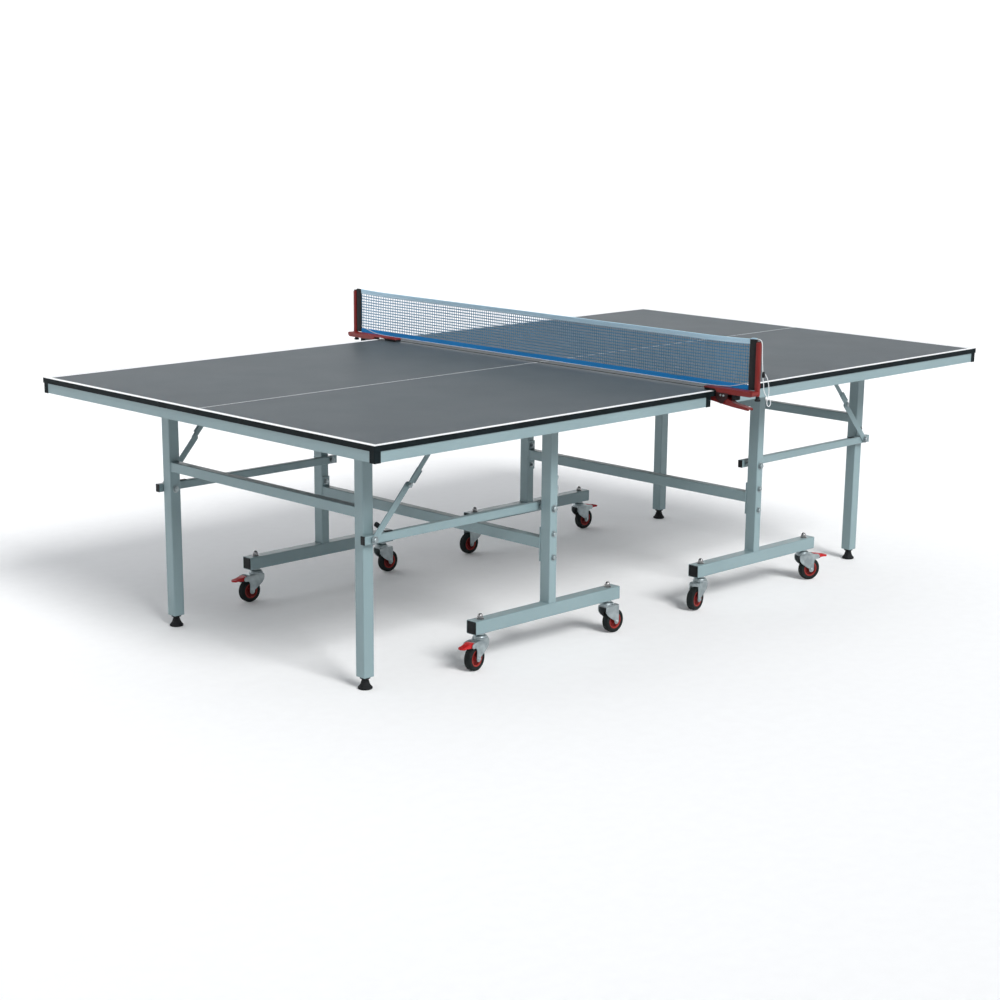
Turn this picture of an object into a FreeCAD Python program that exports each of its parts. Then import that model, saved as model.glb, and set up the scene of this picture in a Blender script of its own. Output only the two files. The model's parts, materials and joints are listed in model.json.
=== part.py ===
"""Folding table-tennis table: two wheeled halves, folding end legs and a clamp-on net.

Frame: +X along the length (right half), +Y across (far side), +Z up, origin on the floor
under the middle of the net. Sizes are in millimetres.
"""
import FreeCAD
import Part
import math
import os

PARTS = "parts"
SHEET = "Sizes"

SIZES = {
    # playing surface
    "table_length": 2740, "table_width": 1525, "table_height": 760,
    "half_gap": 3, "board_thick": 15, "band_thick": 2.5,
    # steel apron under the board
    "apron_height": 30, "apron_inset": 3, "apron_setback": 48, "apron_flange": 18,
    "sheet_steel": 2, "cap_arm": 22,
    # tubes
    "tube_wall": 1.6, "tube_round": 3, "upright_wide": 30, "upright_deep": 40,
    "beam_tube": 40, "leg_tube": 37, "cross_wide": 30, "trolley_cross_tall": 34,
    "leg_cross_tall": 30, "link_wide": 18, "link_tall": 25,
    # places in the wheeled frame
    "pivot_height": 688, "upright_place": 483, "trolley_side": 522, "beam_place": 491.5,
    "beam_length": 611, "beam_bottom": 108, "trolley_cross_height": 326,
    "plate_tall": 104, "plate_thick": 4, "plate_height": 322.5,
    "bolt_high": 358, "bolt_low": 287, "link_height": 434,
    # end legs
    "leg_place": 1134, "leg_side": 445, "leg_bottom": 36, "leg_above_pivot": 16,
    "leg_cross_height": 504, "foot_radius": 21, "foot_height": 30, "foot_stem_radius": 6,
    # link bars and folding stays
    "link_side": 476, "link_outer_end": 1165, "link_inner_end": 462,
    "stay_reach": 230, "stay_wide": 20, "stay_thick": 3.5, "lower_stay_side": 487.75,
    "upper_stay_side": 494.75, "upper_stay_wide": 15, "stay_cover_offset": 9,
    "stay_plate_length": 62, "stay_plate_wide": 25,
    # hinge brackets under the board
    "ear_thick": 3, "ear_clear": 1, "ear_wide": 38, "ear_below": 17, "pad_thick": 3,
    "pin_radius": 6, "bolt_radius": 4, "link_bolt_radius": 5, "running_fit": 0.06,
    "bolt_head_radius": 8.5, "bolt_head_thick": 6, "stay_ear_wide": 26,
    # casters
    "caster_inset": 35, "caster_trail": 28, "wheel_radius": 37.5, "wheel_wide": 25,
    "hub_radius": 25, "axle_radius": 4, "head_radius": 23, "head_bottom": 90,
    "head_top": 102, "fork_gap": 30, "lug_tall": 16, "fork_plate": 2.5, "stem_radius": 6,
    "collar_radius": 13, "nut_radius": 10, "nut_height": 17, "pedal_reach": 98,
    "pedal_wide": 28, "pedal_tip_wide": 12, "pedal_pivot": 52, "pedal_pivot_height": 80,
    # net set
    "net_place": -4, "net_height": 160, "net_lift": 10.5, "net_half": 867, "net_thick": 1.5,
    "tape_wide": 15, "tape_thick": 4, "sleeve_wide": 23, "sleeve_thick": 9,
    "sleeve_rise": 3, "sleeve_over": 2.5, "tongue_tall": 4, "cord_start": 889,
    "post_inner": 891, "post_outer": 905, "post_deep": 14, "post_below": 3.5,
    "arm_place": -21, "arm_wide": 30, "near_arm_inner": 720, "far_arm_inner": 655,
    "arm_thick": 5, "arm_pad": 7,
    "arm_flange": 16, "flange_start": 768, "ear_long": 46,
    "lever_pivot_side": 786, "lever_pivot_height": 734, "lever_pin_radius": 3,
    "lever_wide": 20, "lever_reach": 106, "lever_lean": 9.5,
    "knob_shift": 3, "knob_radius": 9, "knob_height": 14,
    # storage hook
    "hook_height": 522, "hook_rod": 3,
    # net tension cord
    "cord_radius": 1.25,
}

# casters: end of the beam, how far it is swivelled in degrees, and whether it has a brake
CASTERS = (("outer", 1, True), ("inner", -1, False))
SWIVEL = {("right", "near", "outer"): -18.0, ("left", "near", "outer"): 10.0,
          ("right", "near", "inner"): 10.0}
SIDES = (("left", -1), ("right", 1))
ROWS = (("near", -1), ("far", 1))

# route of the cord from the top of the near net post, as (distance from the middle of the
# table along -Y, X, Z)
CORD_ROUTE = ((889, -4, 924.5), (898, -4, 924.5), (907, -4, 920.5), (910.4, -4.2, 910),
              (912.5, -4.6, 868), (916, -5, 836), (917.5, -4.6, 811), (917.5, 0.5, 792),
              (917, 1.5, 776), (917, 12, 760.5), (917.3, 26, 752), (918.5, 35, 742.5),
              (920.5, 32, 730), (922.5, 20, 726.5), (924, 10, 734.5), (924.2, 10.5, 747.5),
              (923.8, 17.5, 760), (923.2, 19, 775.5), (922, 18, 791), (920.5, 15.5, 806),
              (919, 9, 818.5), (918.2, 1.5, 826.5))
CORD_LOCK = {"x": -3, "side": 918, "height": 823, "long": 12, "wide": 8, "tall": 17}

doc = FreeCAD.newDocument("TableTennisTable")
sheet = doc.addObject("Spreadsheet::Sheet", SHEET)
for row, (alias, value) in enumerate(SIZES.items(), 1):
    sheet.set("A%d" % row, alias)
    sheet.set("B%d" % row, str(value))
    sheet.setAlias("B%d" % row, alias)
doc.recompute()

pieces = {}
AXES = {"X": FreeCAD.Rotation(FreeCAD.Vector(0, 1, 0), 90),
        "Y": FreeCAD.Rotation(FreeCAD.Vector(1, 0, 0), -90),
        "Z": FreeCAD.Rotation()}


def bound(text):
    """Write every sheet alias in an expression with the sheet's name in front of it."""
    words = str(text)
    for alias in sorted(SIZES, key=len, reverse=True):
        words = words.replace(alias, "@" + str(list(SIZES).index(alias)) + "@")
    for index, alias in enumerate(SIZES):
        words = words.replace("@%d@" % index, "%s.%s" % (SHEET, alias))
    return words


def number(text):
    """The value of an expression over the sheet's aliases."""
    holder = doc.getObject("Working") or doc.addObject("App::FeaturePython", "Working")
    if not hasattr(holder, "Value"):
        holder.addProperty("App::PropertyFloat", "Value")
    holder.setExpression("Value", bound(text))
    holder.recompute()
    return holder.Value


def place(obj, base):
    """Tie the three coordinates of an object's base point to the sheet."""
    for letter, text in zip("xyz", base):
        obj.setExpression("Placement.Base." + letter, bound(text))


def block(name, centre, size):
    """A box given by its centre and its three sizes, all as expressions."""
    box = doc.addObject("Part::Box", name)
    for prop, text in zip(("Length", "Width", "Height"), size):
        box.setExpression(prop, bound(text))
    place(box, ["(%s) - (%s) / 2" % pair for pair in zip(centre, size)])
    return box


def rod(name, axis, centre, radius, length):
    """A cylinder along X, Y or Z given by the middle of its axis."""
    cylinder = doc.addObject("Part::Cylinder", name)
    cylinder.Placement = FreeCAD.Placement(FreeCAD.Vector(), AXES[axis])
    cylinder.setExpression("Radius", bound(radius))
    cylinder.setExpression("Height", bound(length))
    base = list(centre)
    index = "XYZ".index(axis)
    base[index] = "(%s) - (%s) / 2" % (centre[index], length)
    place(cylinder, base)
    return cylinder


def rounded(name, box, axis, radius):
    """Round the four edges of a box that run along one axis."""
    doc.recompute()
    direction = {"X": (1, 0, 0), "Y": (0, 1, 0), "Z": (0, 0, 1)}[axis]
    along = FreeCAD.Vector(*direction)
    fillet = doc.addObject("Part::Fillet", name)
    fillet.Base = box
    size = number(radius)
    fillet.Edges = [(index, size, size) for index, edge in enumerate(box.Shape.Edges, 1)
                    if edge.tangentAt(edge.FirstParameter).cross(along).Length < 1e-6]
    return fillet


def joined(name, members):
    """One solid made of several that meet."""
    fusion = doc.addObject("Part::MultiFuse", name)
    fusion.Shapes = members
    fusion.Refine = True
    return fusion


def without(name, base, tools):
    """A solid with one or more others taken out of it."""
    cut = doc.addObject("Part::Cut", name)
    cut.Base = base
    cut.Tool = tools[0] if len(tools) == 1 else joined(name + "_tools", tools)
    return cut


def group(name, members):
    """Separate solids kept in one node."""
    compound = doc.addObject("Part::Compound", name)
    compound.Links = members
    return compound


def piece(label, obj):
    """Register an object as a sub-part under its own label."""
    obj.Label = label
    pieces[label] = obj
    return obj


def tube(name, axis, centre, size):
    """A hollow rectangular tube with rounded corners along one axis."""
    index = "XYZ".index(axis)
    outer = rounded(name + "_skin", block(name + "_outer", centre, size), axis, "tube_round")
    inner_size = ["(%s) - 2 * tube_wall" % text for text in size]
    inner_size[index] = "(%s) + 2" % size[index]
    inner = block(name + "_inner", centre, inner_size)
    bore = rounded(name + "_bore", inner, axis, "tube_round - tube_wall")
    return without(name, outer, [bore])


def bolt(name, centre_x, height, side, inner, outer, radius, head="bolt_head_radius"):
    """A bolt along Y from |y| = inner to |y| = outer, with a head at one end and a nut."""
    thick = "bolt_head_thick"
    middle = "%d * ((%s) + (%s)) / 2" % (side, inner, outer)
    shank = rod(name + "_shank", "Y", (centre_x, middle, height), radius,
                "(%s) - (%s)" % (outer, inner))
    ends = []
    for tag, edge in (("head", "(%s) + %s / 2" % (outer, thick)),
                      ("nut", "(%s) - %s / 2" % (inner, thick))):
        ends.append(rod(name + "_" + tag, "Y", (centre_x, "%d * (%s)" % (side, edge), height),
                        head, thick))
    return joined(name, [shank] + ends)


def hole(name, centre_x, height, side, place_y, radius, length):
    """The space of a cross hole along Y."""
    return rod(name, "Y", (centre_x, "%d * (%s)" % (side, place_y), height),
               "(%s) + running_fit" % radius, length)


# ---------------------------------------------------------------- folding table halves

def board_half(side, sign):
    """The board with its black edge band."""
    inner, outer = "half_gap", "table_length / 2"
    centre_x = "%d * ((%s) + (%s)) / 2" % (sign, inner, outer)
    length = "(%s) - (%s)" % (outer, inner)
    height = "table_height - board_thick / 2"
    full = (centre_x, "0", height)
    core_size = (length + " - 2 * band_thick", "table_width - 2 * band_thick", "board_thick")
    piece(side + "_board", block(side + "_core", full, core_size))
    ring = block(side + "_band_outer", full, (length, "table_width", "board_thick"))
    ring = rounded(side + "_band_round", ring, "Z", "band_thick")
    opening = block(side + "_band_inner", full, core_size[:2] + ("board_thick + 2",))
    band = without(side + "_band", ring, [opening])
    return group(side + "_trim_group", [band] + corner_caps(side, sign))


def corner_caps(side, sign):
    """Four plastic caps that close the corners of the apron."""
    caps = []
    height = "table_height - board_thick - apron_height / 2"
    edge_y = "table_width / 2 - apron_inset + 1"
    ends = (("end", "table_length / 2 - apron_inset + 1", -1), ("net", "apron_setback - 1", 1))
    for end, edge_x, inward in ends:
        for row, side_y in ROWS:
            name = "%s_%s_%s_cap" % (side, end, row)
            centre_x = "%d * (%s + %d * cap_arm / 2)" % (sign, edge_x, inward)
            centre_y = "%d * (%s - cap_arm / 2)" % (side_y, edge_y)
            solid = block(name + "_outer", (centre_x, centre_y, height),
                          ("cap_arm", "cap_arm", "apron_height + 1"))
            solid = rounded(name + "_round", solid, "Z", "band_thick")
            inner_x = "%d * (%s + %d * (cap_arm / 2 + 1))" % (sign, edge_x, inward)
            inner_y = "%d * (%s - cap_arm / 2 - 1)" % (side_y, edge_y)
            pocket = block(name + "_pocket", (inner_x, inner_y, height),
                           ("cap_arm", "cap_arm", "apron_height + 3"))
            caps.append(without(name, solid, [pocket]))
    for cap in caps:
        cap.setExpression("Placement.Base.z", bound("-0.5"))
    return caps


def apron(side, sign):
    """A channel-section steel ring screwed under the board."""
    inner, outer = "apron_setback", "table_length / 2 - apron_inset"
    centre_x = "%d * ((%s) + (%s)) / 2" % (sign, inner, outer)
    length = "(%s) - (%s)" % (outer, inner)
    width = "table_width - 2 * apron_inset"
    centre = (centre_x, "0", "table_height - board_thick - apron_height / 2")
    ring = block(side + "_apron_outer", centre, (length, width, "apron_height"))
    channel = block(side + "_apron_channel", centre,
                    (length + " - 2 * sheet_steel", width + " - 2 * sheet_steel",
                     "apron_height - 2 * sheet_steel"))
    window = block(side + "_apron_window", centre,
                   (length + " - 2 * apron_flange", width + " - 2 * apron_flange",
                    "apron_height + 2"))
    piece(side + "_apron", without(side + "_apron_ring", ring, [channel, window]))


def bracket(name, centre_x, side_y, inner_face, outer_face, wide):
    """A hinge bracket under the board: a screwed plate with ears beside inner and outer face."""
    top = "table_height - board_thick"
    low = "pivot_height - ear_below"
    members = []
    faces = [face for face in (inner_face, outer_face) if face]
    for index, face in enumerate(faces):
        members.append(block("%s_ear%d" % (name, index),
                             (centre_x, "%d * (%s)" % (side_y, face),
                              "((%s) + (%s)) / 2" % (top, low)),
                             (wide, "ear_thick", "(%s) - (%s)" % (top, low))))
    middle = "((%s) + (%s)) / 2" % (faces[0], faces[-1])
    span = "(%s) - (%s) + ear_thick + 16" % (faces[-1], faces[0])
    members.append(block(name + "_plate",
                         (centre_x, "%d * (%s)" % (side_y, middle), top + " - pad_thick / 2"),
                         ("(%s) + 24" % wide, span, "pad_thick")))
    return joined(name, members)


def hinge_brackets(side, sign):
    """Brackets and pivot pins for the uprights, the end legs and the stays."""
    members = []
    for row, side_y in ROWS:
        tag = "%s_%s" % (side, row)
        upright_x = "%d * upright_place" % sign
        reach = "upright_deep / 2 + ear_clear + ear_thick / 2"
        members.append(bracket(tag + "_upright_bracket", upright_x, side_y,
                               "trolley_side - (%s)" % reach, "trolley_side + (%s)" % reach,
                               "ear_wide"))
        reach_out = "upright_deep / 2 + ear_clear + ear_thick"
        members.append(bolt(tag + "_upright_pin", upright_x, "pivot_height", side_y,
                            "trolley_side - (%s)" % reach_out, "trolley_side + (%s)" % reach_out,
                            "pin_radius"))
        leg_x = "%d * leg_place" % sign
        reach = "leg_tube / 2 + ear_clear + ear_thick / 2"
        members.append(bracket(tag + "_leg_bracket", leg_x, side_y,
                               "leg_side - (%s)" % reach, "leg_side + (%s)" % reach, "ear_wide"))
        reach_out = "leg_tube / 2 + ear_clear + ear_thick"
        members.append(bolt(tag + "_leg_pin", leg_x, "pivot_height", side_y,
                            "leg_side - (%s)" % reach_out, "leg_side + (%s)" % reach_out,
                            "pin_radius"))
        stay_x = "%d * (leg_place - stay_reach)" % sign
        ear = "upper_stay_side + stay_thick / 2 + ear_clear + ear_thick / 2"
        members.append(bracket(tag + "_stay_bracket", stay_x, side_y, ear, None,
                               "stay_ear_wide"))
        pin_inner = "upper_stay_side - stay_thick / 2 - 0.3"
        pin = rod(tag + "_stay_pin_shank", "Y",
                  (stay_x, "%d * ((%s) + (%s) + 4.5) / 2" % (side_y, pin_inner, ear),
                   "pivot_height"), "bolt_radius", "(%s) + 4.5 - (%s)" % (ear, pin_inner))
        head = rod(tag + "_stay_pin_head", "Y",
                   (stay_x, "%d * ((%s) - 0.9)" % (side_y, pin_inner), "pivot_height"),
                   "bolt_radius + 4", "1.8")
        members.append(joined(tag + "_stay_pin", [pin, head]))
    fused = []
    for index in range(0, len(members), 2):
        fused.append(joined(members[index].Name + "_assembly",
                            [members[index], members[index + 1]]))
    piece(side + "_hinge_brackets", group(side + "_bracket_group", fused))


# ---------------------------------------------------------------- wheeled frames

def wheel_leg(side, sign, row, side_y):
    """An upright welded on a floor beam."""
    tag = "%s_%s_wheel_leg" % (side, row)
    centre_y = "%d * trolley_side" % side_y
    upright_x = "%d * upright_place" % sign
    low, high = "beam_bottom + beam_tube", "pivot_height + leg_above_pivot"
    upright = tube(tag + "_upright", "Z",
                   (upright_x, centre_y, "((%s) + (%s)) / 2" % (low, high)),
                   ("upright_wide", "upright_deep", "(%s) - (%s)" % (high, low)))
    beam = tube(tag + "_beam", "X",
                ("%d * beam_place" % sign, centre_y, "beam_bottom + beam_tube / 2"),
                ("beam_length", "beam_tube", "beam_tube"))
    holes = [hole(tag + "_pivot_hole", upright_x, "pivot_height", side_y, "trolley_side",
                  "pin_radius", "upright_deep + 10"),
             hole(tag + "_link_hole", upright_x, "link_height", side_y, "trolley_side",
                  "link_bolt_radius", "upright_deep + 10")]
    for level in ("bolt_high", "bolt_low"):
        holes.append(hole("%s_%s_hole" % (tag, level), upright_x, level, side_y,
                          "trolley_side", "bolt_radius", "upright_deep + 10"))
    for end, out, _brake in CASTERS:
        stem_x = "%d * beam_place + %d * (beam_length / 2 - caster_inset)" % (sign, sign * out)
        holes.append(rod("%s_%s_stem_hole" % (tag, end), "Z",
                         (stem_x, centre_y, "beam_bottom + beam_tube / 2"),
                         "stem_radius + running_fit", "beam_tube + 10"))
    frame = joined(tag + "_welded", [upright, beam])
    piece("%s_%s_wheel_leg" % (side, row), without(tag + "_drilled", frame, holes))


def trolley_crossbar(side, sign):
    """The tube between the two wheel legs, with a bolted plate at each end."""
    centre_x = "%d * upright_place" % sign
    face = "trolley_side - upright_deep / 2"
    bar = tube(side + "_trolley_bar", "Y", (centre_x, "0", "trolley_cross_height"),
               ("cross_wide", "2 * (%s - plate_thick)" % face, "trolley_cross_tall"))
    members = [bar]
    for row, side_y in ROWS:
        name = "%s_%s_end_plate" % (side, row)
        flat = block(name + "_flat",
                     (centre_x, "%d * (%s - plate_thick / 2)" % (side_y, face), "plate_height"),
                     ("upright_wide", "plate_thick", "plate_tall"))
        holes = [hole("%s_%s" % (name, level), centre_x, level, side_y, face, "bolt_radius",
                      "6 * plate_thick") for level in ("bolt_high", "bolt_low")]
        members.append(without(name, flat, holes))
    piece(side + "_trolley_crossbar", joined(side + "_trolley_cross_welded", members))


def trolley_fasteners(side, sign):
    """Crossbar bolts, link pivot bolts and caster stems with their domed nuts."""
    members = []
    upright_x = "%d * upright_place" % sign
    out_face = "trolley_side + upright_deep / 2"
    for row, side_y in ROWS:
        tag = "%s_%s" % (side, row)
        for level in ("bolt_high", "bolt_low"):
            members.append(bolt("%s_%s" % (tag, level), upright_x, level, side_y,
                                "trolley_side - upright_deep / 2 - plate_thick", out_face,
                                "bolt_radius", "bolt_radius + 3"))
        members.append(bolt(tag + "_link_bolt", upright_x, "link_height", side_y,
                            "link_side - link_wide / 2 - 0.5", out_face, "link_bolt_radius"))
        for end, out, _brake in CASTERS:
            stem_x = "%d * beam_place + %d * (beam_length / 2 - caster_inset)" % (
                sign, sign * out)
            members.append(caster_stem("%s_%s" % (tag, end), stem_x,
                                       "%d * trolley_side" % side_y))
    if side == "left":
        members.append(hook_bolt())
    piece(side + "_trolley_fasteners", group(side + "_fastener_group", members))


def caster_stem(tag, stem_x, stem_y):
    """The fixed stem of a caster: dome nut, shank, upper race and riveted lower end."""
    top = "beam_bottom + beam_tube"
    low = "head_bottom - 6"
    rivet_top = "head_bottom - 2.3"
    shank = rod(tag + "_stem_shank", "Z", (stem_x, stem_y, "((%s) + (%s)) / 2" % (low, top)),
                "stem_radius", "(%s) - (%s)" % (top, low))
    nut = rod(tag + "_stem_nut", "Z", (stem_x, stem_y, top + " + nut_height / 4"),
              "nut_radius", "nut_height / 2")
    dome = doc.addObject("Part::Sphere", tag + "_stem_dome")
    dome.setExpression("Radius", bound("nut_radius - 1"))
    dome.Angle1 = 0
    place(dome, (stem_x, stem_y, top + " + nut_height / 2 - 0.5"))
    race = rod(tag + "_stem_race", "Z",
               (stem_x, stem_y, "(beam_bottom + head_top + 0.3) / 2"), "collar_radius",
               "beam_bottom - head_top - 0.3")
    rivet = rod(tag + "_stem_rivet", "Z",
                (stem_x, stem_y, "((%s) + (%s)) / 2" % (low, rivet_top)),
                "stem_radius + 3", "(%s) - (%s)" % (rivet_top, low))
    return joined(tag + "_stem", [shank, nut, dome, race, rivet])


def beam_caps(side, sign):
    """Square plastic plugs in the beam ends and in the tops of the uprights."""
    caps = []
    inner = "beam_tube - 2 * tube_wall - 0.4"
    for row, side_y in ROWS:
        for end, out, _brake in CASTERS:
            name = "%s_%s_%s_plug" % (side, row, end)
            edge = "%d * beam_place + %d * beam_length / 2" % (sign, sign * out)
            centre_y = "%d * trolley_side" % side_y
            height = "beam_bottom + beam_tube / 2"
            flange = block(name + "_flange",
                           (edge + " + %g" % (sign * out * 1.25), centre_y, height),
                           ("2.5", "beam_tube - 1", "beam_tube - 1"))
            flange = rounded(name + "_round", flange, "X", "tube_round")
            neck = block(name + "_neck", (edge + " - %g" % (sign * out * 6), centre_y, height),
                         ("12", inner, inner))
            caps.append(joined(name, [flange, neck]))
    piece(side + "_beam_caps", group(side + "_beam_cap_group", caps))


# ---------------------------------------------------------------- casters

def caster(side, sign, row, side_y, end, out, braked):
    """A swivel fork, its wheel and, on the outer ones, a brake pedal."""
    tag = "%s_%s_%s" % (side, row, end)
    outward = sign * out
    turn = SWIVEL.get((side, row, end), 0.0) + (180 if outward < 0 else 0)
    axis = FreeCAD.Rotation(FreeCAD.Vector(0, 0, 1), turn)
    stem = (number("%d * beam_place + %d * (beam_length / 2 - caster_inset)" % (sign, outward)),
            number("%d * trolley_side" % side_y))
    where = FreeCAD.Placement(FreeCAD.Vector(stem[0], stem[1], 0), axis)
    for kind, maker in (("fork", fork), ("wheel", wheel)):
        made = maker("%s_%s" % (tag, kind), braked)
        made.Placement = where
        piece("%s_%s" % (tag, kind), made)
    if braked:
        made = pedal(tag + "_brake_pedal")
        made.Placement = where
        piece(tag + "_brake_pedal", made)


def fork(name, braked):
    """A pressed fork with its swivel head, in the frame of the stem, wheel towards +X."""
    height = "(head_bottom + head_top) / 2"
    head = rod(name + "_head", "Z", ("0", "0", height), "head_radius", "head_top - head_bottom")
    crown = block(name + "_crown", ("caster_trail / 4", "0", "head_bottom - 1"),
                  ("2 * head_radius - 8", "fork_gap + 2 * fork_plate", "2.4"))
    members = [head, crown]
    for tag, side in (("a", -1), ("b", 1)):
        plate = doc.addObject("Part::Wedge", "%s_plate_%s" % (name, tag))
        plate.Placement = FreeCAD.Placement(FreeCAD.Vector(), AXES["Y"].inverted())
        corners = {"Xmin": "caster_trail - 9", "Xmax": "caster_trail + 9",
                   "X2min": "-head_radius + 6", "X2max": "caster_trail + 5",
                   "Ymin": "wheel_radius - 9", "Ymax": "head_bottom",
                   "Zmin": "0", "Zmax": "fork_plate", "Z2min": "0", "Z2max": "fork_plate"}
        for prop, text in corners.items():
            plate.setExpression(prop, bound(text))
        shift = "fork_gap / 2 + fork_plate" if side > 0 else "-fork_gap / 2"
        plate.setExpression("Placement.Base.y", bound(shift))
        members.append(plate)
        if braked:
            lug_x = "(caster_trail + pedal_pivot + 8) / 2"
            lug = block("%s_lug_%s" % (name, tag),
                        (lug_x, "%d * (fork_gap / 2 + fork_plate / 2)" % side,
                         "pedal_pivot_height"),
                        ("pedal_pivot + 8 - caster_trail", "fork_plate", "lug_tall"))
            members.append(lug)
    axle = rod(name + "_axle", "Y", ("caster_trail", "0", "wheel_radius"), "axle_radius",
               "fork_gap + 2 * fork_plate + 8")
    members.append(axle)
    if braked:
        members.append(rod(name + "_brake_pin", "Y", ("pedal_pivot", "0", "pedal_pivot_height"),
                           "3", "fork_gap + 2 * fork_plate + 2"))
    body = joined(name + "_body", members)
    bore = rod(name + "_bore", "Z", ("0", "0", height), "stem_radius + running_fit", "60")
    return without(name, body, [bore])


def wheel(name, _braked):
    """A tyre on a spoked hub, in the frame of the stem."""
    centre = ("caster_trail", "0", "wheel_radius")
    disc = rod(name + "_disc", "Y", centre, "wheel_radius", "wheel_wide")
    doc.recompute()
    shoulder = doc.addObject("Part::Fillet", name + "_shoulder")
    shoulder.Base = disc
    shoulder.Edges = [(index, 5, 5) for index, edge in enumerate(disc.Shape.Edges, 1)
                      if edge.Closed]
    ring = without(name + "_tyre", shoulder,
                   [rod(name + "_seat", "Y", centre, "hub_radius", "wheel_wide + 4")])
    hub = rod(name + "_hub_disc", "Y", centre, "hub_radius", "wheel_wide - 7")
    boss = rod(name + "_boss", "Y", centre, "9", "wheel_wide + 3")
    core = joined(name + "_core", [hub, boss])
    bore = rod(name + "_axle_bore", "Y", centre, "axle_radius + running_fit", "60")
    return group(name, [ring, without(name + "_hub", core, [bore])])


def pedal(name):
    """A brake pedal on its pin between the fork's lugs."""
    paddle = doc.addObject("Part::Wedge", name + "_paddle")
    paddle.Placement.Rotation = FreeCAD.Rotation(FreeCAD.Vector(0, 0, 1), -90)
    corners = {"Xmin": "-pedal_wide / 2", "Xmax": "pedal_wide / 2",
               "X2min": "-pedal_tip_wide / 2", "X2max": "pedal_tip_wide / 2",
               "Ymin": "pedal_pivot - 9", "Ymax": "pedal_reach",
               "Zmin": "pedal_pivot_height - 6", "Zmax": "pedal_pivot_height + 9",
               "Z2min": "pedal_pivot_height - 4", "Z2max": "pedal_pivot_height"}
    for prop, text in corners.items():
        paddle.setExpression(prop, bound(text))
    knuckle = rod(name + "_knuckle", "Y", ("pedal_pivot", "0", "pedal_pivot_height"), "6",
                  "pedal_wide")
    shoe = block(name + "_shoe",
                 ("pedal_pivot + 12", "0", "pedal_pivot_height - 2.5"),
                 ("10", "pedal_wide - 5", "13"))
    body = joined(name + "_body", [paddle, knuckle, shoe])
    return without(name, body, [rod(name + "_bore", "Y",
                                    ("pedal_pivot", "0", "pedal_pivot_height"),
                                    "3 + running_fit", "60")])


# ---------------------------------------------------------------- end legs, links and stays

def leg_frame(side, sign):
    """Two end legs joined by a crossbar, with the bolts that carry the link bars."""
    leg_x = "%d * leg_place" % sign
    low, high = "leg_bottom", "pivot_height + leg_above_pivot"
    members = []
    bolts = []
    for row, side_y in ROWS:
        tag = "%s_%s_leg" % (side, row)
        post = tube(tag + "_post", "Z",
                    (leg_x, "%d * leg_side" % side_y, "((%s) + (%s)) / 2" % (low, high)),
                    ("leg_tube", "leg_tube", "(%s) - (%s)" % (high, low)))
        plug = block(tag + "_plug",
                     (leg_x, "%d * leg_side" % side_y, low + " + 5"),
                     ("leg_tube - 2 * tube_wall", "leg_tube - 2 * tube_wall", "10"))
        post = joined(tag + "_plugged", [post, plug])
        holes = [hole(tag + "_pin_hole", leg_x, "pivot_height", side_y, "leg_side",
                      "pin_radius", "leg_tube + 10"),
                 hole(tag + "_link_hole", leg_x, "link_height", side_y, "leg_side",
                      "link_bolt_radius", "leg_tube + 10"),
                 rod(tag + "_foot_hole", "Z", (leg_x, "%d * leg_side" % side_y, low),
                     "foot_stem_radius + running_fit", "60")]
        members.append(without(tag + "_drilled", post, holes))
        bolts.append(bolt(tag + "_link_bolt", leg_x, "link_height", side_y,
                          "leg_side - leg_tube / 2",
                          "lower_stay_side + stay_thick / 2 + 0.5", "link_bolt_radius"))
    bar = tube(side + "_leg_bar", "Y", (leg_x, "0", "leg_cross_height"),
               ("cross_wide", "2 * leg_side - leg_tube", "leg_cross_tall"))
    piece(side + "_leg_frame", joined(side + "_leg_welded", members + [bar]))
    piece(side + "_leg_bolts", group(side + "_leg_bolt_group", bolts))


def levelling_feet(side, sign):
    """Bell-shaped feet on threaded stems that turn in the leg plugs."""
    feet = []
    for row, side_y in ROWS:
        name = "%s_%s_foot" % (side, row)
        centre = ("%d * leg_place" % sign, "%d * leg_side" % side_y)
        pad = rod(name + "_pad", "Z", centre + ("3",), "foot_radius", "6")
        bell = doc.addObject("Part::Cone", name + "_bell")
        bell.setExpression("Radius1", bound("foot_radius - 2"))
        bell.setExpression("Radius2", bound("foot_radius / 2"))
        bell.setExpression("Height", bound("foot_height - 12"))
        place(bell, centre + ("6",))
        lock = rod(name + "_nut", "Z", centre + ("(foot_height - 6 + leg_bottom - 0.5) / 2",),
                   "foot_radius / 2 + 2", "leg_bottom - 0.5 - (foot_height - 6)")
        stem = rod(name + "_stem", "Z", centre + ("foot_height + 10",), "foot_stem_radius",
                   "30")
        feet.append(joined(name, [pad, bell, lock, stem]))
    piece(side + "_levelling_feet", group(side + "_foot_group", feet))


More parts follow.
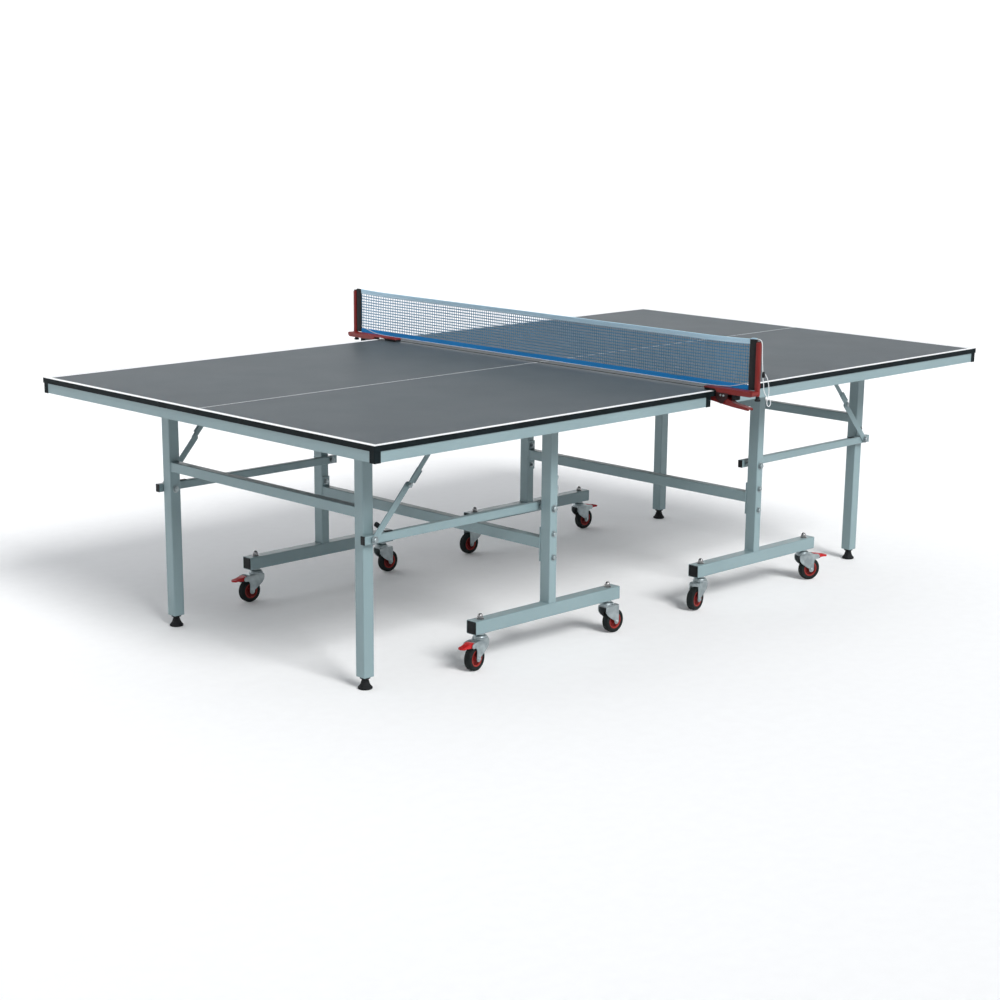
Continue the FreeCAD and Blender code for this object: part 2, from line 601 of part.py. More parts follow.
def link_bars(side, sign):
    """Rectangular tubes between the uprights and the end legs, plugged at both ends."""
    bars = []
    middle = "%d * (link_outer_end + link_inner_end) / 2" % sign
    length = "link_outer_end - link_inner_end"
    for row, side_y in ROWS:
        name = "%s_%s_link" % (side, row)
        centre_y = "%d * link_side" % side_y
        bar = tube(name + "_bar", "X", (middle, centre_y, "link_height"),
                   (length, "link_wide", "link_tall"))
        for tag, spot in (("outer", "link_outer_end - 4"), ("inner", "link_inner_end + 4")):
            plug = block("%s_%s_plug" % (name, tag),
                         ("%d * (%s)" % (sign, spot), centre_y, "link_height"),
                         ("8", "link_wide - 2 * tube_wall", "link_tall - 2 * tube_wall"))
            bar = joined("%s_%s_ended" % (name, tag), [bar, plug])
        holes = [hole("%s_%s_hole" % (name, tag), "%d * %s" % (sign, spot), "link_height",
                      side_y, "link_side", "link_bolt_radius", "link_wide + 10")
                 for tag, spot in (("leg", "leg_place"), ("upright", "upright_place"))]
        bars.append(without(name, bar, holes))
    piece(side + "_link_bars", group(side + "_link_group", bars))


def stay_geometry():
    """Lengths of the upper and the lower link of a folding stay."""
    reach = number("stay_reach")
    drop = number("pivot_height - link_height")
    total = math.hypot(reach, drop)
    difference = drop - reach
    upper = (total - difference) / 2
    return upper, total - upper


def stay_link(name, start, end, side_y, wide, extra, holes):
    """A flat bar with round ends between two points (x, z), drilled at the given ends."""
    run = FreeCAD.Vector(end[0] - start[0], 0, end[1] - start[1])
    length = run.Length
    bar = block(name + "_flat", ("%.6f" % (length / 2), "0", "0"),
                ("%.6f" % length, "stay_thick", wide))
    members = [bar]
    for tag, spot in (("a", 0.0), ("b", length)):
        members.append(rod("%s_end_%s" % (name, tag), "Y", ("%.6f" % spot, "0", "0"),
                           wide + " / 2", "stay_thick"))
    for tag, centre, size in extra:
        members.append(block("%s_%s" % (name, tag), centre, size))
    body = joined(name + "_solid", members)
    if holes:
        bores = [rod("%s_bore%d" % (name, index), "Y", ("%.6f" % (spot * length), "0", "0"),
                     radius + " + running_fit", "20") for index, (spot, radius) in
                 enumerate(holes)]
        body = without(name, body, bores)
    turn = FreeCAD.Rotation(FreeCAD.Vector(0, 1, 0), math.degrees(math.atan2(-run.z, run.x)))
    body.Placement = FreeCAD.Placement(FreeCAD.Vector(start[0], side_y, start[1]), turn)
    return body


def stays(side, sign):
    """Two-part folding stays between the board and the end legs."""
    upper, lower = stay_geometry()
    top = (sign * number("leg_place - stay_reach"), number("pivot_height"))
    foot = (sign * number("leg_place"), number("link_height"))
    share = upper / (upper + lower)
    elbow = (top[0] + share * (foot[0] - top[0]), top[1] + share * (foot[1] - top[1]))
    uppers, lowers = [], []
    for row, side_y in ROWS:
        out_y = "%d * (stay_thick / 2 + 1)" % side_y
        cover = ("cover", ("%.6f - stay_plate_length / 2 - stay_cover_offset" % upper, out_y, "0"),
                 ("stay_plate_length", "2", "stay_plate_wide"))
        uppers.append(stay_link("%s_%s_upper_stay" % (side, row), top, elbow,
                                side_y * number("upper_stay_side"), "upper_stay_wide", [cover],
                                [(0.0, "bolt_radius")]))
        lowers.append(stay_link("%s_%s_lower_stay" % (side, row), foot, elbow,
                                side_y * number("lower_stay_side"), "stay_wide", [],
                                [(0.0, "link_bolt_radius")]))
    piece(side + "_upper_stays", group(side + "_upper_stay_group", uppers))
    piece(side + "_lower_stays", group(side + "_lower_stay_group", lowers))


def storage_hook():
    """A bent rod hook that hangs from a bolt on the near left upright."""
    face = number("-upright_place + upright_wide / 2")
    side = number("-trolley_side")
    height = number("hook_height")
    radius = number("hook_rod")
    bends = ((9, -8), (9, -18), (19, -28), (19, -52), (8, -56))
    route = [FreeCAD.Vector(face + out, side, height + up) for out, up in bends]
    hook = tube_along(route, radius, 0.45)
    eye = Part.makeCylinder(10, 2 * radius, FreeCAD.Vector(face + 6, side, height),
                            FreeCAD.Vector(1, 0, 0))
    solid = hook.fuse(eye)
    bore = Part.makeCylinder(4 + number("running_fit"), 4 * radius,
                             FreeCAD.Vector(face, side, height), FreeCAD.Vector(1, 0, 0))
    feature = doc.addObject("Part::Feature", "hook_rod_solid")
    feature.Shape = solid.cut(bore).removeSplitter()
    piece("storage_hook", feature)


def hook_bolt():
    """The bolt that carries the storage hook, with its washer against the upright."""
    face = "-upright_place + upright_wide / 2"
    spot = ("-trolley_side", "hook_height")
    shank = rod("hook_bolt_shank", "X", (face + " + 7",) + spot, "4", "14")
    washer = rod("hook_bolt_washer", "X", (face + " + 2.8",) + spot, "9", "5.6")
    head = rod("hook_bolt_head", "X", (face + " + 14.7",) + spot, "8", "4.8")
    return joined("hook_bolt", [shank, washer, head])


# ---------------------------------------------------------------- net set

def tube_along(points, radius, share):
    """A round rod along straight runs joined by tangent arcs."""
    edges = []
    start = points[0]
    for before, corner, after in zip(points, points[1:], points[2:]):
        inward = (before - corner).normalize()
        outward = (after - corner).normalize()
        half = (math.pi - inward.getAngle(outward)) / 2
        shorter = min((before - corner).Length, (after - corner).Length)
        reach = share * shorter
        first = corner + inward * reach
        last = corner + outward * reach
        bend = reach / math.tan(half)
        bisector = (inward + outward).normalize()
        centre = corner + bisector * (bend / math.cos(half))
        middle = centre - bisector * bend
        edges.append(Part.LineSegment(start, first).toShape())
        edges.append(Part.Arc(first, middle, last).toShape())
        start = last
    edges.append(Part.LineSegment(start, points[-1]).toShape())
    path = Part.Wire(edges)
    profile = Part.Wire(Part.makeCircle(radius, points[0], points[1] - points[0]))
    solid = path.makePipeShell([profile], True, True)
    wanted = math.pi * radius ** 2 * path.Length
    if abs(solid.Volume - wanted) > 0.02 * wanted:
        raise ValueError("rod volume %.1f, expected %.1f" % (solid.Volume, wanted))
    return solid


def net_parts():
    """The mesh, its tapes and its side sleeves."""
    base = "table_height + net_lift"
    top = "table_height + net_height"
    mesh_low, mesh_high = base + " + tape_wide", top + " - tape_wide"
    piece("net_mesh", block("net_mesh_sheet",
                            ("net_place", "0", "((%s) + (%s)) / 2" % (mesh_low, mesh_high)),
                            ("net_thick", "2 * net_half", "(%s) - (%s)" % (mesh_high, mesh_low))))
    tapes = [block("net_top_tape", ("net_place", "0", top + " - tape_wide / 2"),
                   ("tape_thick", "2 * net_half", "tape_wide")),
             block("net_bottom_tape", ("net_place", "0", base + " + tape_wide / 2"),
                   ("net_thick", "2 * net_half", "tape_wide"))]
    for row, side_y in ROWS:
        tapes.append(block("net_%s_sleeve" % row,
                           ("net_place", "%d * (net_half + sleeve_wide / 2)" % side_y,
                            "((%s) + sleeve_rise + (%s) + sleeve_over) / 2" % (base, top)),
                           ("sleeve_thick - 1", "sleeve_wide",
                            "(%s) + sleeve_over - (%s) - sleeve_rise" % (top, base))))
    tapes.append(tape_end(top))
    piece("net_tapes", group("net_tape_group", tapes))


def tape_end(top):
    """The end of the top tape, folded over the near sleeve, where the cord comes out."""
    return block("net_tape_tongue",
                 ("net_place", "-(post_inner + cord_start - 19) / 2",
                  top + " + sleeve_over + tongue_tall / 2"),
                 ("tape_thick + 1", "cord_start - post_inner + 19", "tongue_tall"))


def net_bracket(row, side_y):
    """The clamp arm on the board with its ears and the net post that stands on its end."""
    name = row + "_net_bracket"
    rest = "table_height + arm_pad + 0.3"
    flange_low = rest + " + arm_thick - arm_flange"
    post_top = "table_height + net_height - post_below"
    arm_y = "%d * ((%s_arm_inner + post_outer) / 2)" % (side_y, row)
    strap = block(name + "_strap", ("arm_place", arm_y, rest + " + arm_thick / 2"),
                  ("arm_wide", "post_outer - %s_arm_inner" % row, "arm_thick"))
    members = [strap]
    flange_y = "%d * ((flange_start + post_outer) / 2)" % side_y
    for tag, hand in (("a", -1), ("b", 1)):
        flange_x = "arm_place + %d * (arm_wide / 2 - 1)" % hand
        members.append(block("%s_flange_%s" % (name, tag),
                             (flange_x, flange_y, rest + " + arm_thick - arm_flange / 2"),
                             ("2", "post_outer - flange_start", "arm_flange")))
        ear_low = "lever_pivot_height - 9"
        members.append(block("%s_ear_%s" % (name, tag),
                             (flange_x, "%d * (flange_start + ear_long / 2)" % side_y,
                              "((%s) + (%s)) / 2" % (rest, ear_low)),
                             ("2", "ear_long", "(%s) - (%s)" % (rest, ear_low))))
    post = tube(name + "_post", "Z",
                ("net_place", "%d * (post_inner + post_outer) / 2" % side_y,
                 "((%s) + (%s)) / 2" % (flange_low, post_top)),
                ("post_deep", "post_outer - post_inner",
                 "(%s) - (%s)" % (post_top, flange_low)))
    members.append(post)
    members.append(rod(name + "_lever_pin", "X",
                       ("arm_place", "%d * lever_pivot_side" % side_y, "lever_pivot_height"),
                       "lever_pin_radius", "arm_wide + 4"))
    piece(name, joined(name + "_welded", members))


def clamp_lever(row, side_y):
    """The sprung lever whose jaw grips the board from below."""
    name = row + "_clamp_lever"
    jaw_top = "table_height - board_thick - 0.3"
    jaw = block(name + "_jaw",
                ("arm_place", "%d * (lever_pivot_side - 26)" % side_y,
                 "(%s) - 5.5" % jaw_top), ("lever_wide", "56", "5"))
    pad = block(name + "_pad",
                ("arm_place", "%d * (lever_pivot_side - 40)" % side_y, "(%s) - 1.5" % jaw_top),
                ("lever_wide", "26", "3"))
    knuckle = rod(name + "_knuckle", "X",
                  ("arm_place", "%d * lever_pivot_side" % side_y, "lever_pivot_height"), "7",
                  "lever_wide")
    handle = doc.addObject("Part::Box", name + "_handle")
    handle.setExpression("Length", bound("lever_wide"))
    handle.setExpression("Width", bound("lever_reach"))
    handle.setExpression("Height", bound("4"))
    lean = FreeCAD.Rotation(FreeCAD.Vector(1, 0, 0), -side_y * number("lever_lean"))
    handle.Placement = FreeCAD.Placement(FreeCAD.Vector(), lean)
    start, drop = "lever_pivot_side", "0"
    if side_y < 0:
        start += " + lever_reach * cos(lever_lean * 1 deg)"
        drop = "lever_reach * sin(lever_lean * 1 deg)"
    place(handle, ("arm_place - lever_wide / 2", "%d * (%s)" % (side_y, start),
                   "lever_pivot_height - 2 - %s" % drop))
    solid = joined(name + "_body", [jaw, pad, knuckle, handle])
    bore = rod(name + "_bore", "X",
               ("arm_place", "%d * lever_pivot_side" % side_y, "lever_pivot_height"),
               "lever_pin_radius + running_fit", "60")
    piece(name, without(name + "_drilled", solid, [bore]))


def clamp_pads():
    """Rubber pads under the clamp arms and plastic knobs and plugs on the posts."""
    members = []
    for row, side_y in ROWS:
        members.append(block(row + "_arm_pad",
                             ("arm_place", "%d * (%s_arm_inner + 29)" % (side_y, row),
                              "table_height + 0.3 + arm_pad / 2"),
                             ("arm_wide - 4", "54", "arm_pad")))
        centre_y = "%d * (post_inner + post_outer) / 2" % side_y
        members.append(rod(row + "_post_knob", "Z",
                           ("net_place + knob_shift", centre_y,
                            "table_height + arm_pad + 0.3 + arm_thick - arm_flange"
                            " - knob_height / 2"),
                           "knob_radius", "knob_height"))
        members.append(block(row + "_post_plug",
                             ("net_place", centre_y,
                              "table_height + net_height - post_below + 1"),
                             ("post_deep - 2", "post_outer - post_inner - 2", "2")))
    piece("net_pads_and_plugs", group("net_pad_group", members))


def net_cord():
    """The tension cord of the net, over the near post and down to its lock and loop."""
    radius = number("cord_radius")
    route = [FreeCAD.Vector(across, -out, up) for out, across, up in CORD_ROUTE]
    for before, corner, after in zip(route, route[1:], route[2:]):
        turn = (corner - before).getAngle(after - corner)
        shorter = min((corner - before).Length, (after - corner).Length)
        print("cord radius %.1f mm at a turn of %.0f degrees" % (
            0.45 * shorter / math.tan(turn / 2), math.degrees(turn)))
    feature = doc.addObject("Part::Feature", "net_cord_tube")
    feature.Shape = tube_along(route, radius, 0.45)
    print("cord length %.0f mm" % (feature.Shape.Volume / (math.pi * radius ** 2)))
    piece("net_cord", feature)
    lock = doc.addObject("Part::Box", "cord_lock_body")
    for prop, value in (("Length", "long"), ("Width", "wide"), ("Height", "tall")):
        setattr(lock, prop, CORD_LOCK[value])
    lock.Placement.Base = FreeCAD.Vector(CORD_LOCK["x"] - CORD_LOCK["long"] / 2,
                                         -CORD_LOCK["side"] - CORD_LOCK["wide"] / 2,
                                         CORD_LOCK["height"] - CORD_LOCK["tall"] / 2)
    piece("cord_lock", rounded("cord_lock_round", lock, "Z", "tube_round"))


for side_name, side_sign in SIDES:
    piece(side_name + "_edge_trim", board_half(side_name, side_sign))
    apron(side_name, side_sign)
    hinge_brackets(side_name, side_sign)
    for row_name, row_sign in ROWS:
        wheel_leg(side_name, side_sign, row_name, row_sign)
    trolley_crossbar(side_name, side_sign)
    trolley_fasteners(side_name, side_sign)
    beam_caps(side_name, side_sign)
    leg_frame(side_name, side_sign)
    levelling_feet(side_name, side_sign)
    link_bars(side_name, side_sign)
    stays(side_name, side_sign)
    for row_name, row_sign in ROWS:
        for end_name, end_sign, has_brake in CASTERS:
            caster(side_name, side_sign, row_name, row_sign, end_name, end_sign, has_brake)
storage_hook()
net_parts()
for row_name, row_sign in ROWS:
    net_bracket(row_name, row_sign)
    clamp_lever(row_name, row_sign)
clamp_pads()
net_cord()

doc.recompute()
for item in doc.Objects:
    if "Invalid" in item.State or "Error" in item.State:
        raise RuntimeError("failed object: " + item.Name)
os.makedirs(PARTS, exist_ok=True)
for label, item in sorted(pieces.items()):
    if item.Shape.isNull() or not item.Shape.isValid():
        raise RuntimeError("bad shape: " + label)
    print("%-32s solids %d volume %.0f" % (label, len(item.Shape.Solids), item.Shape.Volume))
    item.Shape.exportStep(os.path.join(PARTS, label + ".step"))
print("%d nodes" % len(pieces))
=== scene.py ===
"""Looks of the folding table-tennis table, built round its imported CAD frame. Metres, Z up."""

import bmesh
import bpy
import json
import math
from mathutils import Matrix, Vector


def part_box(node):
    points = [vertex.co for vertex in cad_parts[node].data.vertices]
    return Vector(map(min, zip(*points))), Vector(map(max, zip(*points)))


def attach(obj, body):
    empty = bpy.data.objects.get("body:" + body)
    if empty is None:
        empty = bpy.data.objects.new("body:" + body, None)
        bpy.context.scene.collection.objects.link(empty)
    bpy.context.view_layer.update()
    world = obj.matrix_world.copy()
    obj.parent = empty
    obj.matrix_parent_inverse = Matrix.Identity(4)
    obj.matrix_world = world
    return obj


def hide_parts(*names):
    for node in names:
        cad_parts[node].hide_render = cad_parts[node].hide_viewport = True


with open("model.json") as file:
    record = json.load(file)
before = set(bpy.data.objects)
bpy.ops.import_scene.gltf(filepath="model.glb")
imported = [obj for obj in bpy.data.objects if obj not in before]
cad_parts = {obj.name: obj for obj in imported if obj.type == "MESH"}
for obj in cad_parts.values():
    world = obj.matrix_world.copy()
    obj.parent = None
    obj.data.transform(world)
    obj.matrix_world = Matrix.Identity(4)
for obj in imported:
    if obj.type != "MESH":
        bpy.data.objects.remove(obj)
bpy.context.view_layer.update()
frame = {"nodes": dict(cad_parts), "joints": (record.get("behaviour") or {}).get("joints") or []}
PLACES = {joint["name"]: Vector(joint["pos_m"])
          for joint in frame["joints"] if "pos_m" in joint}
SIDES = (("left", -1), ("right", 1))
ROWS = (("near", -1), ("far", 1))

# places shared by several pieces
BEAM_HALF = 0.02
BEAM_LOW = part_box("right_near_wheel_leg")[0].z
BEAM_TOP = BEAM_LOW + 2 * BEAM_HALF
HEAD_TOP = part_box("right_near_inner_fork")[1].z
FRAME_SIDE = PLACES["right_far_inner_swivel"].y
FRAME_IN, FRAME_OUT = FRAME_SIDE - BEAM_HALF, FRAME_SIDE + BEAM_HALF
LEG_HALF = (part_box("right_leg_frame")[1].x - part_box("right_leg_frame")[0].x) / 2
LEG_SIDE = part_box("right_leg_frame")[1].y - LEG_HALF
LINK_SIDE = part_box("right_link_bars")[1].y - 0.009
UPPER_STAY_SIDE, LOWER_STAY_SIDE = LINK_SIDE + 0.01875, LINK_SIDE + 0.01175
AXLE = (0.028, 0.0375)
BRAKE_PIN = (0.052, PLACES["right_near_outer_brake_press"].z)
LEG_X = PLACES["right_leg_fold"].x
UPRIGHT_X = PLACES["right_fold"].x
LINK_Z = PLACES["right_link_swing"].z
FRAME_BAR_Z, LEG_BAR_Z = 0.326, 0.504  # middles of the crossbars' tubes
TABLE_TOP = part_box("right_board")[1].z
TABLE_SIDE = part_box("right_edge_trim")[1].y
NET_X = (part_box("net_mesh")[0].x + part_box("net_mesh")[1].x) / 2
TAPE_WIDE = 0.015
ARM_X = PLACES["near_clamp_squeeze"].x
ARM_REST = TABLE_TOP + 0.0073
ARM_TOP, ARM_LOW = ARM_REST + 0.005, ARM_REST - 0.011
POST_SIDE = 0.898


# ---------------------------------------------------------------- camera, floor and light

def set_camera():
    """The camera at the photograph's place and lens."""
    data = bpy.data.cameras.new("camera")
    data.sensor_width = 36
    data.lens = 72.9
    data.shift_y = 0.1
    data.clip_end = 60
    right = Vector((0.71196, -0.70216, 0.00879)).normalized()
    forward = Vector((0.68014, 0.68641, -0.25738)).normalized()
    up = right.cross(forward).normalized()
    forward = up.cross(right)
    turn = Matrix((right, up, -forward)).transposed().to_4x4()
    camera = bpy.data.objects.new("camera", data)
    camera.matrix_world = Matrix.Translation((-4.675, -4.5511, 1.7003)) @ turn
    bpy.context.scene.collection.objects.link(camera)
    bpy.context.scene.camera = camera


def set_light():
    """A large soft lamp from the near side under a pale sky."""
    data = bpy.data.lights.new("key", "SUN")
    data.energy = 3.1
    data.angle = math.radians(24)
    key = bpy.data.objects.new("key", data)
    from_side = Vector((-0.18, -1.0, 0.76))
    key.rotation_euler = (-from_side).to_track_quat("-Z", "Y").to_euler()
    bpy.context.scene.collection.objects.link(key)
    world = bpy.data.worlds.new("studio")
    world.use_nodes = True
    sky = world.node_tree.nodes["Background"].inputs
    sky["Color"].default_value = (0.93, 0.96, 1.0, 1)
    sky["Strength"].default_value = 0.5
    bpy.context.scene.world = world
    bpy.context.scene.view_settings.view_transform = "Standard"


# ---------------------------------------------------------------- materials

def linear(red, green, blue):
    """A display colour of 0 to 255 as the renderer's own colour."""
    return tuple((c / 12.92 if c <= 0.04045 else ((c + 0.055) / 1.055) ** 2.4)
                 for c in (red / 255, green / 255, blue / 255)) + (1.0,)


class Paint:
    """A procedural material under construction: a principled shader and what feeds it."""

    def __init__(self, name, rough, metallic=0.0):
        self.material = bpy.data.materials.new(name)
        self.material.use_nodes = True
        self.tree = self.material.node_tree
        self.shader = self.tree.nodes["Principled BSDF"]
        self.shader.inputs["Roughness"].default_value = rough
        self.shader.inputs["Metallic"].default_value = metallic
        self.place = self.tree.nodes.new("ShaderNodeTexCoord").outputs["Object"]
        self.bumps = None

    def node(self, kind, **values):
        made = self.tree.nodes.new(kind)
        for name, value in values.items():
            setattr(made, name, value)
        return made

    def link(self, start, end):
        self.tree.links.new(start, end)

    def stretched(self, scale):
        """The object's coordinates, stretched by a factor along each axis."""
        mapping = self.node("ShaderNodeMapping")
        mapping.inputs["Scale"].default_value = scale
        self.link(self.place, mapping.inputs["Vector"])
        return mapping.outputs["Vector"]

    def noise(self, scale, detail=4.0, along=None):
        made = self.node("ShaderNodeTexNoise")
        made.inputs["Scale"].default_value = scale
        made.inputs["Detail"].default_value = detail
        self.link(self.stretched(along) if along else self.place, made.inputs["Vector"])
        return made.outputs["Fac"]

    def bands(self, direction, scale):
        made = self.node("ShaderNodeTexWave", bands_direction=direction)
        made.inputs["Scale"].default_value = scale
        self.link(self.place, made.inputs["Vector"])
        return made.outputs["Fac"]

    def product(self, first, second):
        made = self.node("ShaderNodeMath", operation="MULTIPLY")
        self.link(first, made.inputs[0])
        self.link(second, made.inputs[1])
        return made.outputs["Value"]

    def ramp(self, source, low, high, start, end):
        made = self.node("ShaderNodeValToRGB")
        made.color_ramp.elements[0].position = start
        made.color_ramp.elements[0].color = low
        made.color_ramp.elements[1].position = end
        made.color_ramp.elements[1].color = high
        self.link(source, made.inputs["Fac"])
        return made.outputs["Color"]

    def colour(self, source, low, high, start=0.35, end=0.65):
        """Colour that varies between two tones with a pattern."""
        self.link(self.ramp(source, low, high, start, end), self.shader.inputs["Base Color"])

    def roughness(self, source, low, high):
        made = self.node("ShaderNodeMapRange")
        made.inputs["To Min"].default_value = low
        made.inputs["To Max"].default_value = high
        self.link(source, made.inputs["Value"])
        self.link(made.outputs["Result"], self.shader.inputs["Roughness"])

    def bump(self, source, strength, distance):
        """Relief from a pattern, added to any relief there already is."""
        made = self.node("ShaderNodeBump")
        made.inputs["Strength"].default_value = strength
        made.inputs["Distance"].default_value = distance
        self.link(source, made.inputs["Height"])
        if self.bumps:
            self.link(self.bumps, made.inputs["Normal"])
        self.bumps = made.outputs["Normal"]
        self.link(self.bumps, self.shader.inputs["Normal"])


def coated(name, tone, shade, rough):
    """A powder coat: fine orange peel and faint patches of tone and gloss."""
    paint = Paint(name, rough)
    paint.colour(paint.noise(3.0), linear(*shade), linear(*tone))
    paint.roughness(paint.noise(14.0), rough - 0.06, rough + 0.08)
    paint.bump(paint.noise(900.0, 2.0), 0.15, 0.0004)
    return paint.material


def moulded(name, tone, shade, rough, grain=0.25, scale=1400.0, gloss=0.2):
    """Moulded plastic or rubber with a fine matt grain."""
    paint = Paint(name, rough)
    paint.shader.inputs["Specular IOR Level"].default_value = gloss
    paint.colour(paint.noise(24.0), linear(*shade), linear(*tone))
    paint.roughness(paint.noise(60.0), rough - 0.05, rough + 0.1)
    paint.bump(paint.noise(scale, 3.0), grain, 0.0003)
    return paint.material


def plated(name, tone, shade, rough):
    """Zinc or chrome plate with drawn streaks and a slightly cloudy tone."""
    paint = Paint(name, rough, 0.9)
    paint.colour(paint.noise(45.0), linear(*shade), linear(*tone))
    paint.roughness(paint.noise(200.0, 4.0, (1, 1, 0.12)), rough - 0.08, rough + 0.14)
    paint.bump(paint.noise(900.0, 2.0, (1, 1, 0.1)), 0.1, 0.0002)
    return paint.material


def woven(name, tone, shade, threads, rough=0.85):
    """Cloth with two sets of threads, at so many per metre."""
    paint = Paint(name, rough)
    weave = paint.product(paint.bands("Y", threads), paint.bands("Z", threads))
    paint.colour(weave, linear(*shade), linear(*tone), 0.1, 0.75)
    paint.shader.inputs["Sheen Weight"].default_value = 0.06
    paint.roughness(paint.noise(70.0), rough - 0.08, rough + 0.08)
    paint.bump(weave, 0.5, 0.0004)
    paint.bump(paint.noise(45.0), 0.25, 0.001)
    return paint.material


def playing_coat(name, tone, shade):
    """The matt sprayed playing surface: very fine texture, faint clouds and rub marks."""
    paint = Paint(name, 0.5)
    paint.shader.inputs["Specular IOR Level"].default_value = 0.1
    paint.colour(paint.noise(2.2, 6.0), linear(*shade), linear(*tone), 0.3, 0.7)
    paint.roughness(paint.noise(7.0, 6.0), 0.44, 0.52)
    paint.bump(paint.noise(1600.0, 2.0), 0.12, 0.0003)
    return paint.material


def make_materials():
    """Every material of the object, by name."""
    return {
        "surface": playing_coat("playing_surface", (70, 80, 85), (67, 76, 81)),
        "line": playing_coat("painted_line", (246, 247, 247), (238, 240, 241)),
        "underside": moulded("board_underside", (66, 68, 70), (54, 56, 58), 0.7, 0.3, 500.0),
        "band": moulded("edge_band", (18, 27, 30), (12, 20, 22), 0.5, gloss=0.08),
        "silver": coated("silver_blue_coat", (129, 150, 154), (123, 144, 148), 0.4),
        "zinc": plated("bright_zinc", (176, 186, 188), (146, 156, 159), 0.38),
        "chrome": plated("dark_chrome", (178, 176, 174), (130, 130, 132), 0.2),
        "black": moulded("black_plastic", (24, 26, 28), (14, 16, 18), 0.45),
        "rubber": moulded("foot_rubber", (30, 31, 33), (19, 20, 22), 0.68, 0.4, 900.0),
        "tyre": moulded("tyre_rubber", (26, 32, 32), (16, 21, 21), 0.72, 0.4, 700.0),
        "hub": moulded("hub_red", (112, 24, 22), (86, 16, 16), 0.4),
        "hub_ring": moulded("hub_ring_red", (150, 50, 44), (128, 38, 34), 0.4),
        "pedal": moulded("pedal_red", (188, 40, 42), (162, 28, 30), 0.38),
        "clamp": coated("clamp_red_coat", (132, 24, 17), (112, 17, 13), 0.42),
        "clamp_dark": coated("clamp_dark_coat", (62, 16, 16), (40, 11, 12), 0.45),
        "net": woven("net_strands", (78, 134, 168), (58, 114, 150), 2500.0),
        "top_tape": woven("top_tape", (200, 226, 240), (168, 202, 222), 700.0),
        "low_tape": woven("low_tape", (0, 146, 218), (0, 118, 190), 700.0),
        "sleeve": woven("black_sleeve", (30, 31, 33), (12, 13, 15), 700.0),
        "string": woven("white_string", (244, 246, 246), (206, 210, 212), 900.0, 0.75),
        "floor": moulded("floor", (253, 253, 253), (251, 251, 251), 0.9, 0.05, 60.0),
    }


# ---------------------------------------------------------------- building pieces

def box_part(size):
    """A box about the origin."""
    x, y, z = (edge / 2 for edge in size)
    corners = [(a, b, c) for a in (-x, x) for b in (-y, y) for c in (-z, z)]
    faces = [(0, 1, 3, 2), (4, 6, 7, 5), (0, 4, 5, 1), (2, 3, 7, 6), (0, 2, 6, 4), (1, 5, 7, 3)]
    return corners, faces


def turned(radius, height, steps):
    """A circle of points about Z."""
    angles = [2 * math.pi * step / steps for step in range(steps)]
    return [(radius * math.cos(angle), radius * math.sin(angle), height) for angle in angles]


def lathe_part(profile, steps=32):
    """A closed body turned about Z from (radius, height) points, from bottom to top."""
    verts, rings, faces = [], [], []
    for radius, height in profile:
        if radius < 1e-6:
            rings.append([len(verts)])
            verts.append((0, 0, height))
            continue
        rings.append(list(range(len(verts), len(verts) + steps)))
        verts += turned(radius, height, steps)
    for low, high in zip(rings, rings[1:]):
        for step in range(steps):
            after = (step + 1) % steps
            face = [low[step % len(low)], low[after % len(low)],
                    high[after % len(high)], high[step % len(high)]]
            faces.append(tuple(dict.fromkeys(face)))
    if len(rings[0]) > 1 and len(rings[-1]) > 1:
        faces.append(tuple(reversed(rings[0])))
        faces.append(tuple(rings[-1]))
    return verts, faces


def rod_part(radius, low, high, steps):
    """A plain round rod along Z."""
    return lathe_part([(0.0, low), (radius, low), (radius, high), (0.0, high)], steps)


def loft_part(rings, closed=False):
    """A skin over rings of equally many points: capped, or closed on itself."""
    count = len(rings[0])
    verts = [point for ring in rings for point in ring]
    faces = []
    for index in range(len(rings) if closed else len(rings) - 1):
        low, high = index * count, (index + 1) % len(rings) * count
        for step in range(count):
            after = (step + 1) % count
            faces.append((low + step, low + after, high + after, high + step))
    if not closed:
        faces.append(tuple(reversed(range(count))))
        faces.append(tuple(range(len(verts) - count, len(verts))))
    return verts, faces


def ring_part(profile, steps=32):
    """A ring turned about Z from a closed (radius, height) outline, anticlockwise."""
    return loft_part([turned(radius, height, steps) for radius, height in profile], True)


def mirrored(half):
    """A (radius, height) outline completed on the other side of height 0."""
    return half + [(radius, -height) for radius, height in reversed(half)]


def slab_part(outline, thick):
    """A plate with an outline in X and Y, of a thickness about Z = 0."""
    return loft_part([[(x, y, z) for x, y in outline] for z in (-thick / 2, thick / 2)])


def arc(centre, radius, start, end, steps=8):
    """Points of an arc in a plane, angles in degrees."""
    angles = [math.radians(start + (end - start) * step / steps) for step in range(steps + 1)]
    return [(centre[0] + radius * math.cos(a), centre[1] + radius * math.sin(a)) for a in angles]


def hexagon(across):
    """A hexagon with its distance across flats."""
    return [(x, y) for x, y, _z in turned(across / math.sqrt(3), 0, 6)]


def tube_part(points, radius, steps=8, closed=False):
    """A round rod along a line of points."""
    line = [Vector(point) for point in points]
    count = len(line)
    rings = []
    side = Vector((0, 0, 1)) if abs((line[1] - line[0]).normalized().z) < 0.9 else Vector((1, 0, 0))
    for index, point in enumerate(line):
        before = line[index - 1] if index or closed else point
        after = line[(index + 1) % count] if index < count - 1 or closed else point
        along = (after - before).normalized()
        side = (side - along * side.dot(along)).normalized()
        other = along.cross(side)
        rings.append([point + side * x + other * y for x, y, _z in turned(radius, 0, steps)])
    return loft_part(rings, closed)


